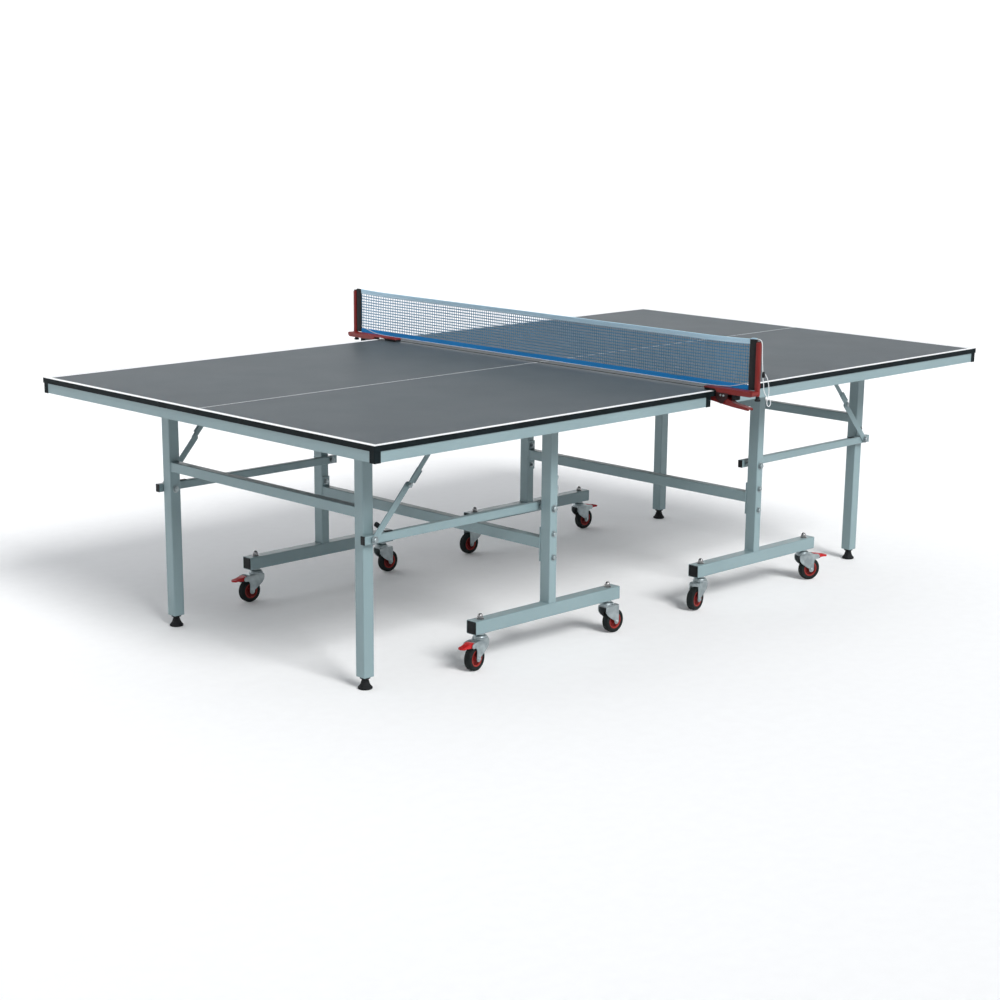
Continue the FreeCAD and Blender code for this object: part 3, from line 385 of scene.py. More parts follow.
class Piece:
    """A mesh put together from parts, each with a place, an edge rounding and a material."""

    def __init__(self):
        self.mesh = bmesh.new()
        self.materials = []

    def put(self, part, material, place=Matrix(), rounding=0.0, segments=2):
        if material not in self.materials:
            self.materials.append(material)
        verts, faces = part
        work = bmesh.new()
        made = [work.verts.new(vert) for vert in verts]
        for face in faces:
            work.faces.new([made[index] for index in face])
        work.normal_update()
        if rounding:
            edges = [edge for edge in work.edges
                     if len(edge.link_faces) == 2 and edge.calc_face_angle(0) > 0.5]
            bmesh.ops.bevel(work, geom=edges, offset=rounding, segments=segments,
                            affect="EDGES", clamp_overlap=True)
        work.transform(place)
        bmesh.ops.recalc_face_normals(work, faces=work.faces)
        for face in work.faces:
            face.material_index = self.materials.index(material)
        holder = bpy.data.meshes.new("holder")
        work.to_mesh(holder)
        work.free()
        self.mesh.from_mesh(holder)
        bpy.data.meshes.remove(holder)

    def done(self, name, body, slot, stands_for=(), sharp=35):
        mesh = bpy.data.meshes.new(name)
        self.mesh.to_mesh(mesh)
        self.mesh.free()
        for material in self.materials:
            mesh.materials.append(MATERIALS[material])
        mesh.shade_smooth()
        mesh.set_sharp_from_angle(angle=math.radians(sharp))
        made = bpy.data.objects.new(name, mesh)
        bpy.context.scene.collection.objects.link(made)
        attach(made, body)
        if stands_for:
            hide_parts(*stands_for)
        return made


def at(x, y, z):
    return Matrix.Translation((x, y, z))


def along_y(side):
    """Turns a part's Z axis to point along +Y or -Y."""
    return Matrix.Rotation(math.radians(-90 * side), 4, "X")


ALONG_X = Matrix.Rotation(math.radians(90), 4, "Y")
# puts a slab's outline in X and Z, with its thickness along Y
UPRIGHT_PLANE = Matrix.Rotation(math.radians(90), 4, "X")
# puts a slab's outline in Y and Z, with its thickness along X
CROSS_PLANE = Matrix(((0, 0, 1, 0), (1, 0, 0, 0), (0, 1, 0, 0), (0, 0, 0, 1)))


def dress(node, material, rounding=0.0):
    """Gives a CAD node its material and softens its edges."""
    shown = frame["nodes"][node]
    shown.data.materials.clear()
    shown.data.materials.append(MATERIALS[material])
    weld = shown.modifiers.new("weld", "WELD")
    weld.merge_threshold = 0.00002
    if rounding:
        bevel = shown.modifiers.new("round", "BEVEL")
        bevel.width = rounding
        bevel.segments = 2
        bevel.limit_method = "ANGLE"
        bevel.angle_limit = math.radians(40)
        bevel.harden_normals = True


# ---------------------------------------------------------------- table halves

def board(side, sign):
    """The board, with its border and centre line painted on the top."""
    low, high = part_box(side + "_board")
    line, centre, trim = 0.02, 0.0015, 0.0025
    outer = sign * (max(abs(low.x), abs(high.x)) + trim - line)
    columns = sorted((low.x, outer, high.x))
    border = high.y + trim - line
    rows = (low.y, -border, -centre, centre, border, high.y)
    piece = Piece()
    for x_low, x_high in zip(columns, columns[1:]):
        end_line = abs(x_low + x_high) / 2 > abs(outer)
        for index, (y_low, y_high) in enumerate(zip(rows, rows[1:])):
            painted = end_line or index in (0, 2, 4)
            quad = [(x_low, y_low, high.z), (x_high, y_low, high.z),
                    (x_high, y_high, high.z), (x_low, y_high, high.z)]
            piece.put((quad, [(0, 1, 2, 3)]), "line" if painted else "surface")
    middle = (low + high) / 2
    verts, faces = box_part(high - low)
    top_face = (1, 5, 7, 3)
    piece.put((verts, [face for face in faces if face != top_face]), "underside", at(*middle))
    piece.done(side + "_playing_board", side + "_table", "playing_surface", [side + "_board"])


def apron_screws(side):
    """Countersunk screws along the lower flange of the apron."""
    low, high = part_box(side + "_apron")
    head = lathe_part([(0.0, 0.0), (0.003, 0.0), (0.0042, 0.0008), (0.0042, 0.0014)], 16)
    piece = Piece()
    inset, across, along = 0.01, 7, 8
    low = low + Vector((inset, inset, 0))
    high = high - Vector((inset, inset, 0))
    places = [(low.x + (high.x - low.x) * (step + 0.5) / across, y)
              for step in range(across) for y in (low.y, high.y)]
    places += [(x, low.y + (high.y - low.y) * (step + 0.5) / along)
               for step in range(along) for x in (low.x, high.x)]
    for x, y in places:
        piece.put(head, "zinc", at(x, y, low.z - 0.001))
    piece.done(side + "_apron_screws", side + "_table", "bright_zinc")


def table_half(side, sign):
    """Board, edge band, apron and brackets of one half."""
    board(side, sign)
    dress(side + "_edge_trim", "band", 0.0008)
    dress(side + "_apron", "silver", 0.0006)
    dress(side + "_hinge_brackets", "zinc", 0.0005)
    apron_screws(side)


# ---------------------------------------------------------------- wheeled frames

def weld_bead(piece, half_x, half_y, place, radius=0.002):
    """A weld bead round the foot of a rectangular tube."""
    path = []
    corner, ripple, sides = 0.003, 0.004, 6
    for (sx, sy), start in (((1, 1), 0), ((-1, 1), 90), ((-1, -1), 180), ((1, -1), 270)):
        centre = (sx * (half_x - corner), sy * (half_y - corner))
        path += [(x, y, 0) for x, y in arc(centre, corner, start, start + 90, 3)]
    beads = []
    for first, second in zip(path, path[1:] + path[:1]):
        first, second = Vector(first), Vector(second)
        count = max(1, round((second - first).length / ripple))
        beads += [first.lerp(second, step / count) for step in range(count)]
    verts, faces = tube_part(beads, radius, sides, True)
    for index in range(0, len(beads), 2):
        for step in range(index * sides, (index + 1) * sides):
            verts[step] = beads[index].lerp(verts[step], 0.78)
    piece.put((verts, faces), "silver", place)


def hex_bolt(piece, x, z, side, inner, outer, across, shank):
    """A hex bolt along Y with its washers and nut, from |y| = inner to |y| = outer."""
    thin, thick = 0.0014, across * 0.42
    washer = rod_part(across * 0.72, 0.0, thin, 28)
    head = slab_part(hexagon(across), thick)
    dish = lathe_part([(0.0, 0.0), (across * 0.46, 0.0), (across * 0.4, 0.0008), (0.0, 0.001)], 24)
    tip = lathe_part([(0.0, 0.0), (shank, 0.0), (shank, 0.0012), (shank * 0.8, 0.0022),
                      (0.0, 0.0022)], 20)
    stud = rod_part(shank, 0.0, outer - inner, 20)
    piece.put(stud, "zinc", at(x, side * inner, z) @ along_y(side))
    for face, out, end in ((outer, 1, dish), (inner, -1, tip)):
        turn = along_y(side * out)
        piece.put(washer, "zinc", at(x, side * face, z) @ turn)
        piece.put(head, "zinc", at(x, side * (face + out * (thin + thick / 2)), z) @ turn, 0.0007)
        piece.put(end, "zinc", at(x, side * (face + out * (thin + thick)), z) @ turn)


def caster_names(side):
    """The four casters of one wheeled frame."""
    return ["%s_%s_%s" % (side, row, end) for row, _sign in ROWS for end in ("outer", "inner")]


def dome_nut(piece, x, y, z):
    """A domed cap nut on its flange."""
    piece.put(lathe_part([(0.0, 0.0), (0.0115, 0.0), (0.0115, 0.001), (0.0098, 0.002),
                          (0.0, 0.002)]), "chrome", at(x, y, z))
    piece.put(slab_part(hexagon(0.0166), 0.0056), "chrome", at(x, y, z + 0.0044), 0.0008)
    dome = [(0.0, 0.0), (0.0078, 0.0)] + arc((0, 0.0022), 0.0078, 0, 82, 8) + [(0.0, 0.01)]
    piece.put(lathe_part(dome), "chrome", at(x, y, z + 0.007))


def caster_stem(piece, x, y):
    """The fixed part of a caster's swivel under the beam."""
    foot = HEAD_TOP - 0.018
    profile = [(0.0, foot), (0.0078, foot), (0.009, foot + 0.001), (0.009, foot + 0.0035),
               (0.0058, foot + 0.0038), (0.0058, HEAD_TOP + 0.0004),
               (0.0124, HEAD_TOP + 0.0005), (0.0132, HEAD_TOP + 0.0014),
               (0.0132, BEAM_LOW - 0.0014), (0.0122, BEAM_LOW - 0.0003), (0.0, BEAM_LOW - 0.0001)]
    piece.put(lathe_part(profile), "zinc", at(x, y, 0))


def beam_caps(side):
    """Square plugs set just inside the rims of the floor beams."""
    piece = Piece()
    low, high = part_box(side + "_near_wheel_leg")
    height = BEAM_LOW + BEAM_HALF
    for _row, side_y in ROWS:
        y = side_y * FRAME_SIDE
        for edge, out in ((low.x, -1), (high.x, 1)):
            piece.put(box_part((0.0024, 0.0362, 0.0362)), "black",
                      at(edge - out * 0.0006, y, height), 0.001)
            for shift in (-0.014, 0.014):
                piece.put(box_part((0.0032, 0.0022, 0.03)), "black",
                          at(edge - out * 0.0004, y + shift, height), 0.0005)
                piece.put(box_part((0.0032, 0.03, 0.0022)), "black",
                          at(edge - out * 0.0004, y, height + shift), 0.0005)
    piece.done(side + "_beam_plugs", side + "_trolley", "black_plastic", [side + "_beam_caps"])


def wheeled_frame(side, sign):
    """The T-shaped legs on their beams, with crossbar, bolts and caster stems."""
    upright_x = sign * UPRIGHT_X
    for row, _sign in ROWS:
        dress("%s_%s_wheel_leg" % (side, row), "silver")
    dress(side + "_trolley_crossbar", "silver", 0.0004)
    beads, fixings = Piece(), Piece()
    plate_face = FRAME_IN - 0.004
    bar_low, bar_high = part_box(side + "_trolley_crossbar")
    bolt_in = 0.0165
    for _row, side_y in ROWS:
        weld_bead(beads, 0.015, BEAM_HALF,
                  at(upright_x, side_y * FRAME_SIDE, BEAM_TOP + 0.0005))
        bar_end = at(upright_x, side_y * (plate_face - 0.0004), FRAME_BAR_Z) @ UPRIGHT_PLANE
        weld_bead(beads, 0.015, 0.017, bar_end, 0.0014)
        for level in (bar_low.z + bolt_in, bar_high.z - bolt_in):
            hex_bolt(fixings, upright_x, level, side_y, plate_face, FRAME_OUT, 0.013, 0.004)
        hex_bolt(fixings, upright_x, LINK_Z, side_y, LINK_SIDE - 0.0095, FRAME_OUT, 0.016, 0.005)
    for name in caster_names(side):
        stem = PLACES[name + "_swivel"]
        dome_nut(fixings, stem.x, stem.y, BEAM_TOP)
        caster_stem(fixings, stem.x, stem.y)
    if side == "left":
        hook_bolt(fixings)
    beads.done(side + "_trolley_welds", side + "_trolley", "silver_paint")
    fixings.done(side + "_trolley_fixings", side + "_trolley", "bright_zinc",
                 [side + "_trolley_fasteners"])
    beam_caps(side)


def hook_bolt(piece):
    """The bolt, washer and spacer that carry the storage hook."""
    x, y, z = PLACES["hook_swing"]
    face = x - 0.009
    piece.put(lathe_part([(0.0, 0.0), (0.0088, 0.0), (0.0088, 0.005), (0.004, 0.0054),
                          (0.004, 0.012), (0.0, 0.012)]), "zinc", at(face, y, z) @ ALONG_X)
    piece.put(slab_part(hexagon(0.013), 0.0048), "zinc", at(face + 0.0147, y, z) @ ALONG_X,
              0.0006)


# ---------------------------------------------------------------- casters

def fork_plate_outline(braked):
    """Side view of a fork's cheek, in X and Z from the stem."""
    top = HEAD_TOP - 0.012
    outline = [(-0.019, top), (-0.0212, top - 0.003), (-0.0214, top - 0.012),
               (-0.0196, top - 0.02), (-0.012, top - 0.0295), (0.004, top - 0.041),
               (0.0185, AXLE[1] + 0.003)]
    outline += arc(AXLE, 0.0096, 190, 350, 10)
    outline += [(0.0372, AXLE[1] + 0.014), (0.0374, top - 0.026)]
    if braked:
        outline += [(0.04, top - 0.0195), (0.046, BRAKE_PIN[1] - 0.0078)]
        outline += arc(BRAKE_PIN, 0.008, -75, 75, 6)
        outline += [(0.042, top - 0.0004), (0.034, top)]
    else:
        outline += [(0.0376, top - 0.008), (0.035, top - 0.0015), (0.032, top)]
    return outline


def fork(name, place, braked, body):
    """A pressed fork: ringed swivel head, rounded hood, two cheeks and the axle."""
    piece = Piece()
    base, bore = HEAD_TOP - 0.012, 0.0062
    head = [(bore, base - 0.0004), (0.0208, base - 0.0004), (0.0226, base + 0.0008),
            (0.0231, base + 0.0028), (0.0226, base + 0.0046), (0.021, base + 0.0056),
            (0.0204, base + 0.0062), (0.0202, base + 0.0082), (0.019, base + 0.0098),
            (0.0166, base + 0.0108), (0.015, base + 0.0118), (bore, base + 0.012)]
    piece.put(ring_part(head, 44), "zinc", place)
    for x_low, x_high in ((-0.0212, -0.0075), (0.0075, 0.0372)):
        crown = box_part((x_high - x_low, 0.035, 0.0034))
        piece.put(crown, "zinc", place @ at((x_low + x_high) / 2, 0, base - 0.0013), 0.0014, 3)
    for hand in (-1, 1):
        piece.put(box_part((0.016, 0.0105, 0.0034)), "zinc",
                  place @ at(0, hand * 0.0122, base - 0.0013), 0.001)
    half = 0.0175
    cheek = slab_part(fork_plate_outline(braked), 0.0024)
    nut = lathe_part([(0.0, 0.0), (0.0074, 0.0), (0.0074, 0.001), (0.0052, 0.0014),
                      (0.005, 0.003), (0.0036, 0.0042), (0.0, 0.0046)], 28)
    pin_head = lathe_part([(0.0, 0.0), (0.0044, 0.0), (0.0038, 0.0009), (0.0, 0.0014)])
    rods = [(AXLE, nut, rod_part(0.004, -half, half, 20))]
    if braked:
        rods += [(BRAKE_PIN, pin_head, rod_part(0.003, -half, half, 16))]
    for side in (-1, 1):
        piece.put(cheek, "zinc", place @ at(0, side * 0.0163, 0) @ UPRIGHT_PLANE, 0.0006)
    for (x, z), end, rod in rods:
        for side in (-1, 1):
            piece.put(end, "zinc", place @ at(x, side * half, z) @ along_y(side))
        piece.put(rod, "zinc", place @ at(x, 0, z) @ along_y(1))
    piece.done(name + "_fork_detail", body, "bright_zinc", [name + "_fork"])


def wheel(name, place, body):
    """A black tyre with a grooved tread on a red spoked hub."""
    piece = Piece()
    axis = place @ at(AXLE[0], 0, AXLE[1]) @ along_y(1)
    tread = [(0.0248, -0.01), (0.0275, -0.0118), (0.0318, -0.0124), (0.0345, -0.0116),
             (0.0362, -0.0098), (0.0371, -0.0076), (0.0374, -0.0058), (0.0368, -0.0053),
             (0.0368, -0.0047), (0.0375, -0.0042), (0.0375, -0.0014), (0.0369, -0.0009)]
    piece.put(ring_part(mirrored(tread), 64), "tyre", axis)
    rim = [(0.0206, -0.0088), (0.0218, -0.0102), (0.0246, -0.0104), (0.0252, -0.0092)]
    piece.put(ring_part(mirrored(rim), 56), "hub_ring", axis)
    disc = [(0.0041, -0.0122), (0.0082, -0.0122), (0.0092, -0.0108), (0.0104, -0.0064),
            (0.021, -0.0058)]
    piece.put(ring_part(mirrored(disc), 40), "hub", axis)
    for index in range(6):
        spoke = Matrix.Rotation(math.radians(60 * index + 12), 4, "Z") @ at(0.0153, 0, 0)
        piece.put(box_part((0.0122, 0.0028, 0.0165)), "hub", axis @ spoke, 0.0006)
    piece.done(name + "_wheel_detail", body, "tyre_rubber", [name + "_wheel"])


def pedal(name, place, body):
    """A red brake pedal: a wedge with a flared, pointed tip, and its black brake shoe."""
    piece = Piece()
    z = BRAKE_PIN[1]
    sections = ((0.044, 0.0132, -0.0056, 0.0078), (0.048, 0.0134, -0.006, 0.0088),
                (0.056, 0.0132, -0.0058, 0.0084), (0.066, 0.0118, -0.0052, 0.0064),
                (0.075, 0.0104, -0.0048, 0.0044), (0.082, 0.0104, -0.0046, 0.003),
                (0.087, 0.0126, -0.0044, 0.002), (0.0915, 0.0116, -0.0042, 0.0012),
                (0.095, 0.0072, -0.004, 0.0006), (0.0978, 0.0024, -0.0036, 0.0000))
    rings = [[(x, -half, z + low), (x, half, z + low), (x, half * 0.92, z + high),
              (x, -half * 0.92, z + high)] for x, half, low, high in sections]
    piece.put(loft_part(rings), "pedal", place, 0.0009)
    for step in range(4):
        x = 0.072 + 0.0042 * step
        rib = box_part((0.0014, 0.015, 0.0012))
        piece.put(rib, "pedal", place @ at(x, 0, z + 0.0056 - (x - 0.07) * 0.21), 0.0004)
    for side in (-1, 1):
        piece.put(rod_part(0.0058, 0.0, 0.0008, 24), "pedal",
                  place @ at(BRAKE_PIN[0], side * 0.0132, z) @ along_y(side))
    piece.put(box_part((0.0096, 0.0176, 0.006)), "black", place @ at(0.064, 0, z - 0.006),
              0.0014)
    piece.done(name + "_pedal_detail", body, "pedal_red", [name + "_brake_pedal"])


def casters(side):
    """The four casters of one wheeled frame, turned as the frame has them."""
    for name in caster_names(side):
        stem = PLACES[name + "_swivel"]
        axle = PLACES[name + "_roll"]
        turn = math.atan2(axle.y - stem.y, axle.x - stem.x)
        place = at(stem.x, stem.y, 0) @ Matrix.Rotation(turn, 4, "Z")
        braked = name.endswith("outer")
        fork(name, place, braked, name + "_swivel")
        wheel(name, place, name + "_roller")
        if braked:
            pedal(name, place, name + "_brake")


# ---------------------------------------------------------------- end legs, links and stays

def end_legs(side, sign):
    """The H-shaped end legs with their bolts and feet."""
    leg_x = sign * LEG_X
    dress(side + "_leg_frame", "silver")
    beads, bolts, feet = Piece(), Piece(), Piece()
    for _row, side_y in ROWS:
        inner = LEG_SIDE - LEG_HALF
        bar_end = at(leg_x, side_y * (inner - 0.0004), LEG_BAR_Z) @ UPRIGHT_PLANE
        weld_bead(beads, 0.015, 0.015, bar_end, 0.0016)
        hex_bolt(bolts, leg_x, LINK_Z, side_y, inner, LOWER_STAY_SIDE + 0.00245, 0.0155, 0.005)
        levelling_foot(feet, leg_x, side_y * LEG_SIDE)
    beads.done(side + "_leg_welds", side + "_end_legs", "silver_paint")
    bolts.done(side + "_leg_fixings", side + "_end_legs", "bright_zinc", [side + "_leg_bolts"])
    feet.done(side + "_feet_detail", side + "_feet", "foot_rubber", [side + "_levelling_feet"])


def levelling_foot(piece, x, y):
    """A bell-shaped rubber foot with its lock nut and threaded stem."""
    bell = [(0.0, 0.0), (0.019, 0.0), (0.0208, 0.0012), (0.021, 0.0048), (0.0196, 0.0066),
            (0.0178, 0.008), (0.015, 0.012), (0.0128, 0.0165), (0.0118, 0.0205),
            (0.0112, 0.0228), (0.0, 0.0228)]
    piece.put(lathe_part(bell, 40), "rubber", at(x, y, 0))
    piece.put(slab_part(hexagon(0.019), 0.006), "black", at(x, y, 0.0258), 0.0008)
    piece.put(rod_part(0.015, 0.0, 0.0045, 32), "black", at(x, y, 0.0309))
    start, lead = 0.028, 0.0012
    thread = [(0.0, start)]
    for turn in range(6):
        thread += [(0.005, start + lead * turn), (0.0059, start + lead * (turn + 0.5))]
    thread += [(0.0059, 0.0545), (0.0, 0.0545)]
    piece.put(lathe_part(thread, 20), "zinc", at(x, y, 0))


def link_bars(side, sign):
    """The bars from the uprights to the end legs, with their end caps."""
    dress(side + "_link_bars", "silver")
    low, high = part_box(side + "_link_bars")
    caps = Piece()
    for _row, side_y in ROWS:
        y = side_y * LINK_SIDE
        for edge, out in ((low.x, -1), (high.x, 1)):
            caps.put(box_part((0.003, 0.0176, 0.0246)), "black",
                     at(edge - out * 0.0003, y, LINK_Z), 0.0009)
        caps.put(box_part((0.025, 0.012, 0.0024)), "black",
                 at(sign * (LEG_X - 0.062), y, LINK_Z + 0.0132), 0.001)
    caps.done(side + "_link_end_caps", side + "_links", "black_plastic")


def bar_outline(length, wide):
    """A flat bar with round ends from the origin along +X."""
    radius = wide / 2
    return arc((0, 0), radius, 90, 270, 12) + arc((length, 0), radius, -90, 90, 12)


def stays(side, sign):
    """The folding stays: upper links with their elbow covers, and lower links."""
    top = PLACES[side + "_upper_stay_swing"]
    foot = PLACES[side + "_lower_stay_swing"]
    total = (foot - top).length
    drop, reach = top.z - foot.z, abs(foot.x - top.x)
    upper = (total - (drop - reach)) / 2
    elbow = top.lerp(foot, upper / total)
    down = math.atan2(foot.z - top.z, foot.x - top.x)
    uppers, lowers = Piece(), Piece()
    for _row, side_y in ROWS:
        for piece, start, turn, length, wide, y in (
                (uppers, top, down, upper, 0.015, UPPER_STAY_SIDE),
                (lowers, foot, down + math.pi, total - upper, 0.02, LOWER_STAY_SIDE)):
            place = (at(start.x, side_y * y, start.z) @ Matrix.Rotation(-turn, 4, "Y")
                     @ UPRIGHT_PLANE)
            piece.put(slab_part(bar_outline(length, wide), 0.0034), "silver", place, 0.0006)
            piece.put(box_part((length - 0.03, 0.006, 0.004)), "silver",
                      place @ at(length / 2, 0, 0), 0.0012)
        bumper = place @ at(0.04, -sign * 0.012, side_y * 0.0085)
        lowers.put(box_part((0.013, 0.015, 0.011)), "black", bumper, 0.0022)
        cover_side = side_y * (UPPER_STAY_SIDE + 0.00275)
        cover = (at(top.x, cover_side, top.z) @ Matrix.Rotation(-down, 4, "Y")
                 @ UPRIGHT_PLANE)
        middle, long, wide = upper - 0.035, 0.042, 0.0195
        uppers.put(box_part((long, wide, 0.002)), "silver", cover @ at(middle, 0, 0), 0.0008)
        edge = box_part((long, 0.0022, 0.0055))
        for hand in (-1, 1):
            uppers.put(edge, "silver", cover @ at(middle, hand * 0.009, 0.0), 0.0007)
        uppers.put(box_part((0.012, 0.01, 0.003)), "zinc",
                   cover @ at(upper - 0.003, 0.004, 0), 0.0012)
        rivet = lathe_part([(0.0, 0.0), (0.0055, 0.0), (0.005, 0.0014), (0.003, 0.0024),
                            (0.0, 0.0027)], 24)
        rivet_side = side_y * (UPPER_STAY_SIDE + 0.00375)
        uppers.put(rivet, "zinc", at(elbow.x, rivet_side, elbow.z) @ along_y(side_y))
    uppers.done(side + "_upper_stay_detail", side + "_stay_uppers", "silver_paint",
                [side + "_upper_stays"])
    lowers.done(side + "_lower_stay_detail", side + "_stay_lowers", "silver_paint",
                [side + "_lower_stays"])


# ---------------------------------------------------------------- net set

CORD_WIDE = 0.0025
CORD_ROUTE = ((-0.004, -0.889, 0.9245), (-0.004, -0.898, 0.9245),
              (-0.004, -0.907, 0.9205), (-0.0042, -0.9104, 0.91),
              (-0.0046, -0.9125, 0.868), (-0.005, -0.916, 0.836),
              (-0.0046, -0.9175, 0.811), (0.0005, -0.9175, 0.792),
              (0.0015, -0.917, 0.776), (0.012, -0.917, 0.7605),
              (0.026, -0.9173, 0.752), (0.035, -0.9185, 0.7425),
              (0.032, -0.9205, 0.73), (0.02, -0.9225, 0.7265),
              (0.01, -0.924, 0.7345), (0.0105, -0.9242, 0.7475),
              (0.0175, -0.9238, 0.76), (0.019, -0.9232, 0.7755),
              (0.018, -0.922, 0.791), (0.0155, -0.9205, 0.806),
              (0.009, -0.919, 0.8185), (0.0015, -0.9182, 0.8265))


def net_cord():
    """The tension cord, over the near post, through its lock and round its loop."""
    data = bpy.data.curves.new("tension_cord", "CURVE")
    data.dimensions = "3D"
    spline = data.splines.new("NURBS")
    spline.points.add(len(CORD_ROUTE) - 1)
    for point, place in zip(spline.points, CORD_ROUTE):
        point.co = (*place, 1.0)
    spline.order_u = 3
    spline.use_endpoint_u = True
    spline.resolution_u = 10
    data.bevel_depth = CORD_WIDE / 2
    data.bevel_resolution = 4
    data.use_fill_caps = True
    data.materials.append(MATERIALS["string"])
    made = bpy.data.objects.new("tension_cord", data)
    bpy.context.scene.collection.objects.link(made)
    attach(made, "left_table")
    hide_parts("net_cord")
    lock = cord_lock()


def cord_lock():
    """A sprung toggle: a ribbed barrel with its plunger."""
    low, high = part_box("cord_lock")
    middle = (low + high) / 2
    piece = Piece()
    barrel = [(0.0, low.z), (0.0046, low.z), (0.0054, low.z + 0.001), (0.0057, middle.z),
              (0.0052, high.z - 0.0052), (0.0042, high.z - 0.004), (0.0, high.z - 0.004)]
    squash = at(middle.x, middle.y, 0) @ Matrix.Diagonal((1.0, 0.66, 1.0, 1.0))
    piece.put(lathe_part(barrel, 28), "black", squash)
    plunger = [(0.0, high.z - 0.005), (0.004, high.z - 0.005), (0.0042, high.z - 0.001),
               (0.0034, high.z), (0.0, high.z)]
    piece.put(lathe_part(plunger, 24), "black", squash)
    for step in range(4):
        height = low.z + 0.003 + 0.0022 * step
        rib = ring_part([(0.0052, height), (0.0059, height + 0.0004), (0.0059, height + 0.001),
                         (0.0052, height + 0.0014)], 28)
        piece.put(rib, "black", squash)
    return piece.done("cord_toggle", "left_table", "black_plastic", ["cord_lock"])


def billow(y, z):
    """How far the slack net stands out of its plane."""
    low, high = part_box("net_mesh")
    up = (z - low.z) / (high.z - low.z)
    hang = math.sin(math.pi * min(1.0, max(0.0, up)))
    return hang * 0.0007 * (math.sin(7.0 * y + 0.6) + 0.6 * math.sin(17.0 * y + 2.0))


def end_lift(y):
    """How far the top of the net is drawn up towards the posts."""
    lift, run = 0.0035, 0.167
    return lift * max(0.0, 1 - (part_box("net_mesh")[1].y - abs(y)) / run) ** 2


def net_mesh(hems):
    """The net: flat woven strands at a pitch of 9 mm."""
    low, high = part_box("net_mesh")
    pitch, half_wide, half_thick = 0.009, 0.00145, 0.0003
    columns = round((high.y - low.y) / pitch)
    rows = round((high.z - low.z) / pitch)
    piece = Piece()

    def spot(column, row):
        y = low.y + (high.y - low.y) * column / columns
        z = low.z + (high.z - low.z) * row / rows
        return Vector((NET_X + billow(y, z), y, z + end_lift(y) * row / rows))

    def strand(points, across):
        corners = [across * wide * half_wide + Vector((thick * half_thick, 0, 0))
                   for wide, thick in ((-1, -1), (1, -1), (1, 1), (-1, 1))]
        piece.put(loft_part([[point + corner for corner in corners] for point in points]), "net")

    for column in range(columns + 1):
        strand([spot(column, row) for row in range(rows + 1)], Vector((0, 1, 0)))
    for row in range(rows + 1):
        strand([spot(column, row) for column in range(columns + 1)], Vector((0, 0, 1)))
    made = piece.done("net_strands", "left_table", "net_mesh", ["net_mesh"])


def strip_along_net(piece, outline, material, low_y, high_y, lift=0.0):
    """A closed (x, z) outline run along the net."""
    steps = 96
    rings = []
    for step in range(steps + 1):
        y = low_y + (high_y - low_y) * step / steps
        drift = 0.0004 * math.sin(11.0 * y + 1.0) + 0.0003 * math.sin(29.0 * y)
        rings.append([(NET_X + x + drift, y, z + lift * end_lift(y)) for x, z in outline])
    piece.put(loft_part(rings), material)


def stitches(piece, part, material, low_y, high_y, z, lift=0.0):
    """A row of stitches along the net."""
    pitch = 0.006
    for step in range(int((high_y - low_y) / pitch)):
        y = low_y + 0.004 + pitch * step
        piece.put(part, material, at(NET_X, y, z + lift * end_lift(y)))


def top_tape():
    """The tape folded over the net's top edge, and its end drawn up to the near post."""
    low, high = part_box("net_mesh")
    top = high.z + TAPE_WIDE
    piece = Piece()
    fold = [(-0.0009, high.z - 0.0005)] + arc((0, top - 0.0022), 0.002, 200, -20, 10)
    fold += [(0.0009, high.z - 0.0005)]
    strip_along_net(piece, fold, "top_tape", low.y, high.y, 1.0)
    stitches(piece, box_part((0.0032, 0.003, 0.0008)), "string", low.y, high.y,
             high.z + 0.003, 1.0)
    drawn = [(low.y + 0.001, top + 0.001), (low.y - 0.006, top + 0.004),
             (low.y - 0.014, top + 0.0045), (low.y - 0.0222, top + 0.0045)]
    piece.put(tube_part([(NET_X, y, z) for y, z in drawn], 0.0024, 12), "top_tape")
    return piece.done("net_top_tape", "left_table", "net_tape", ["net_tapes"], 60)


def bottom_tape():
    """The tape along the net's lower edge, and its string up to both posts."""
    low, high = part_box("net_mesh")
    bottom = low.z - TAPE_WIDE
    piece = Piece()
    flat = [(-0.0008, bottom), (0.0008, bottom), (0.0008, low.z + 0.0005),
            (-0.0008, low.z + 0.0005)]
    strip_along_net(piece, flat, "low_tape", low.y, high.y)
    stitches(piece, box_part((0.0022, 0.003, 0.0007)), "low_tape", low.y, high.y,
             low.z - 0.003)
    rise = [(low.y + along, bottom + up) for along, up in (
        (-0.001, 0.024), (0.012, 0.02), (0.037, 0.013), (0.072, 0.005), (0.117, 0.002))]
    string = rise + [(low.y + 0.167 + 0.05 * step, bottom + 0.0014) for step in range(29)]
    string += [(-y, z) for y, z in reversed(rise)]
    piece.put(tube_part([(NET_X - 0.0014, y, z) for y, z in string], 0.0008, 8), "string")
    return piece.done("net_bottom_tape", "left_table", "net_tape")


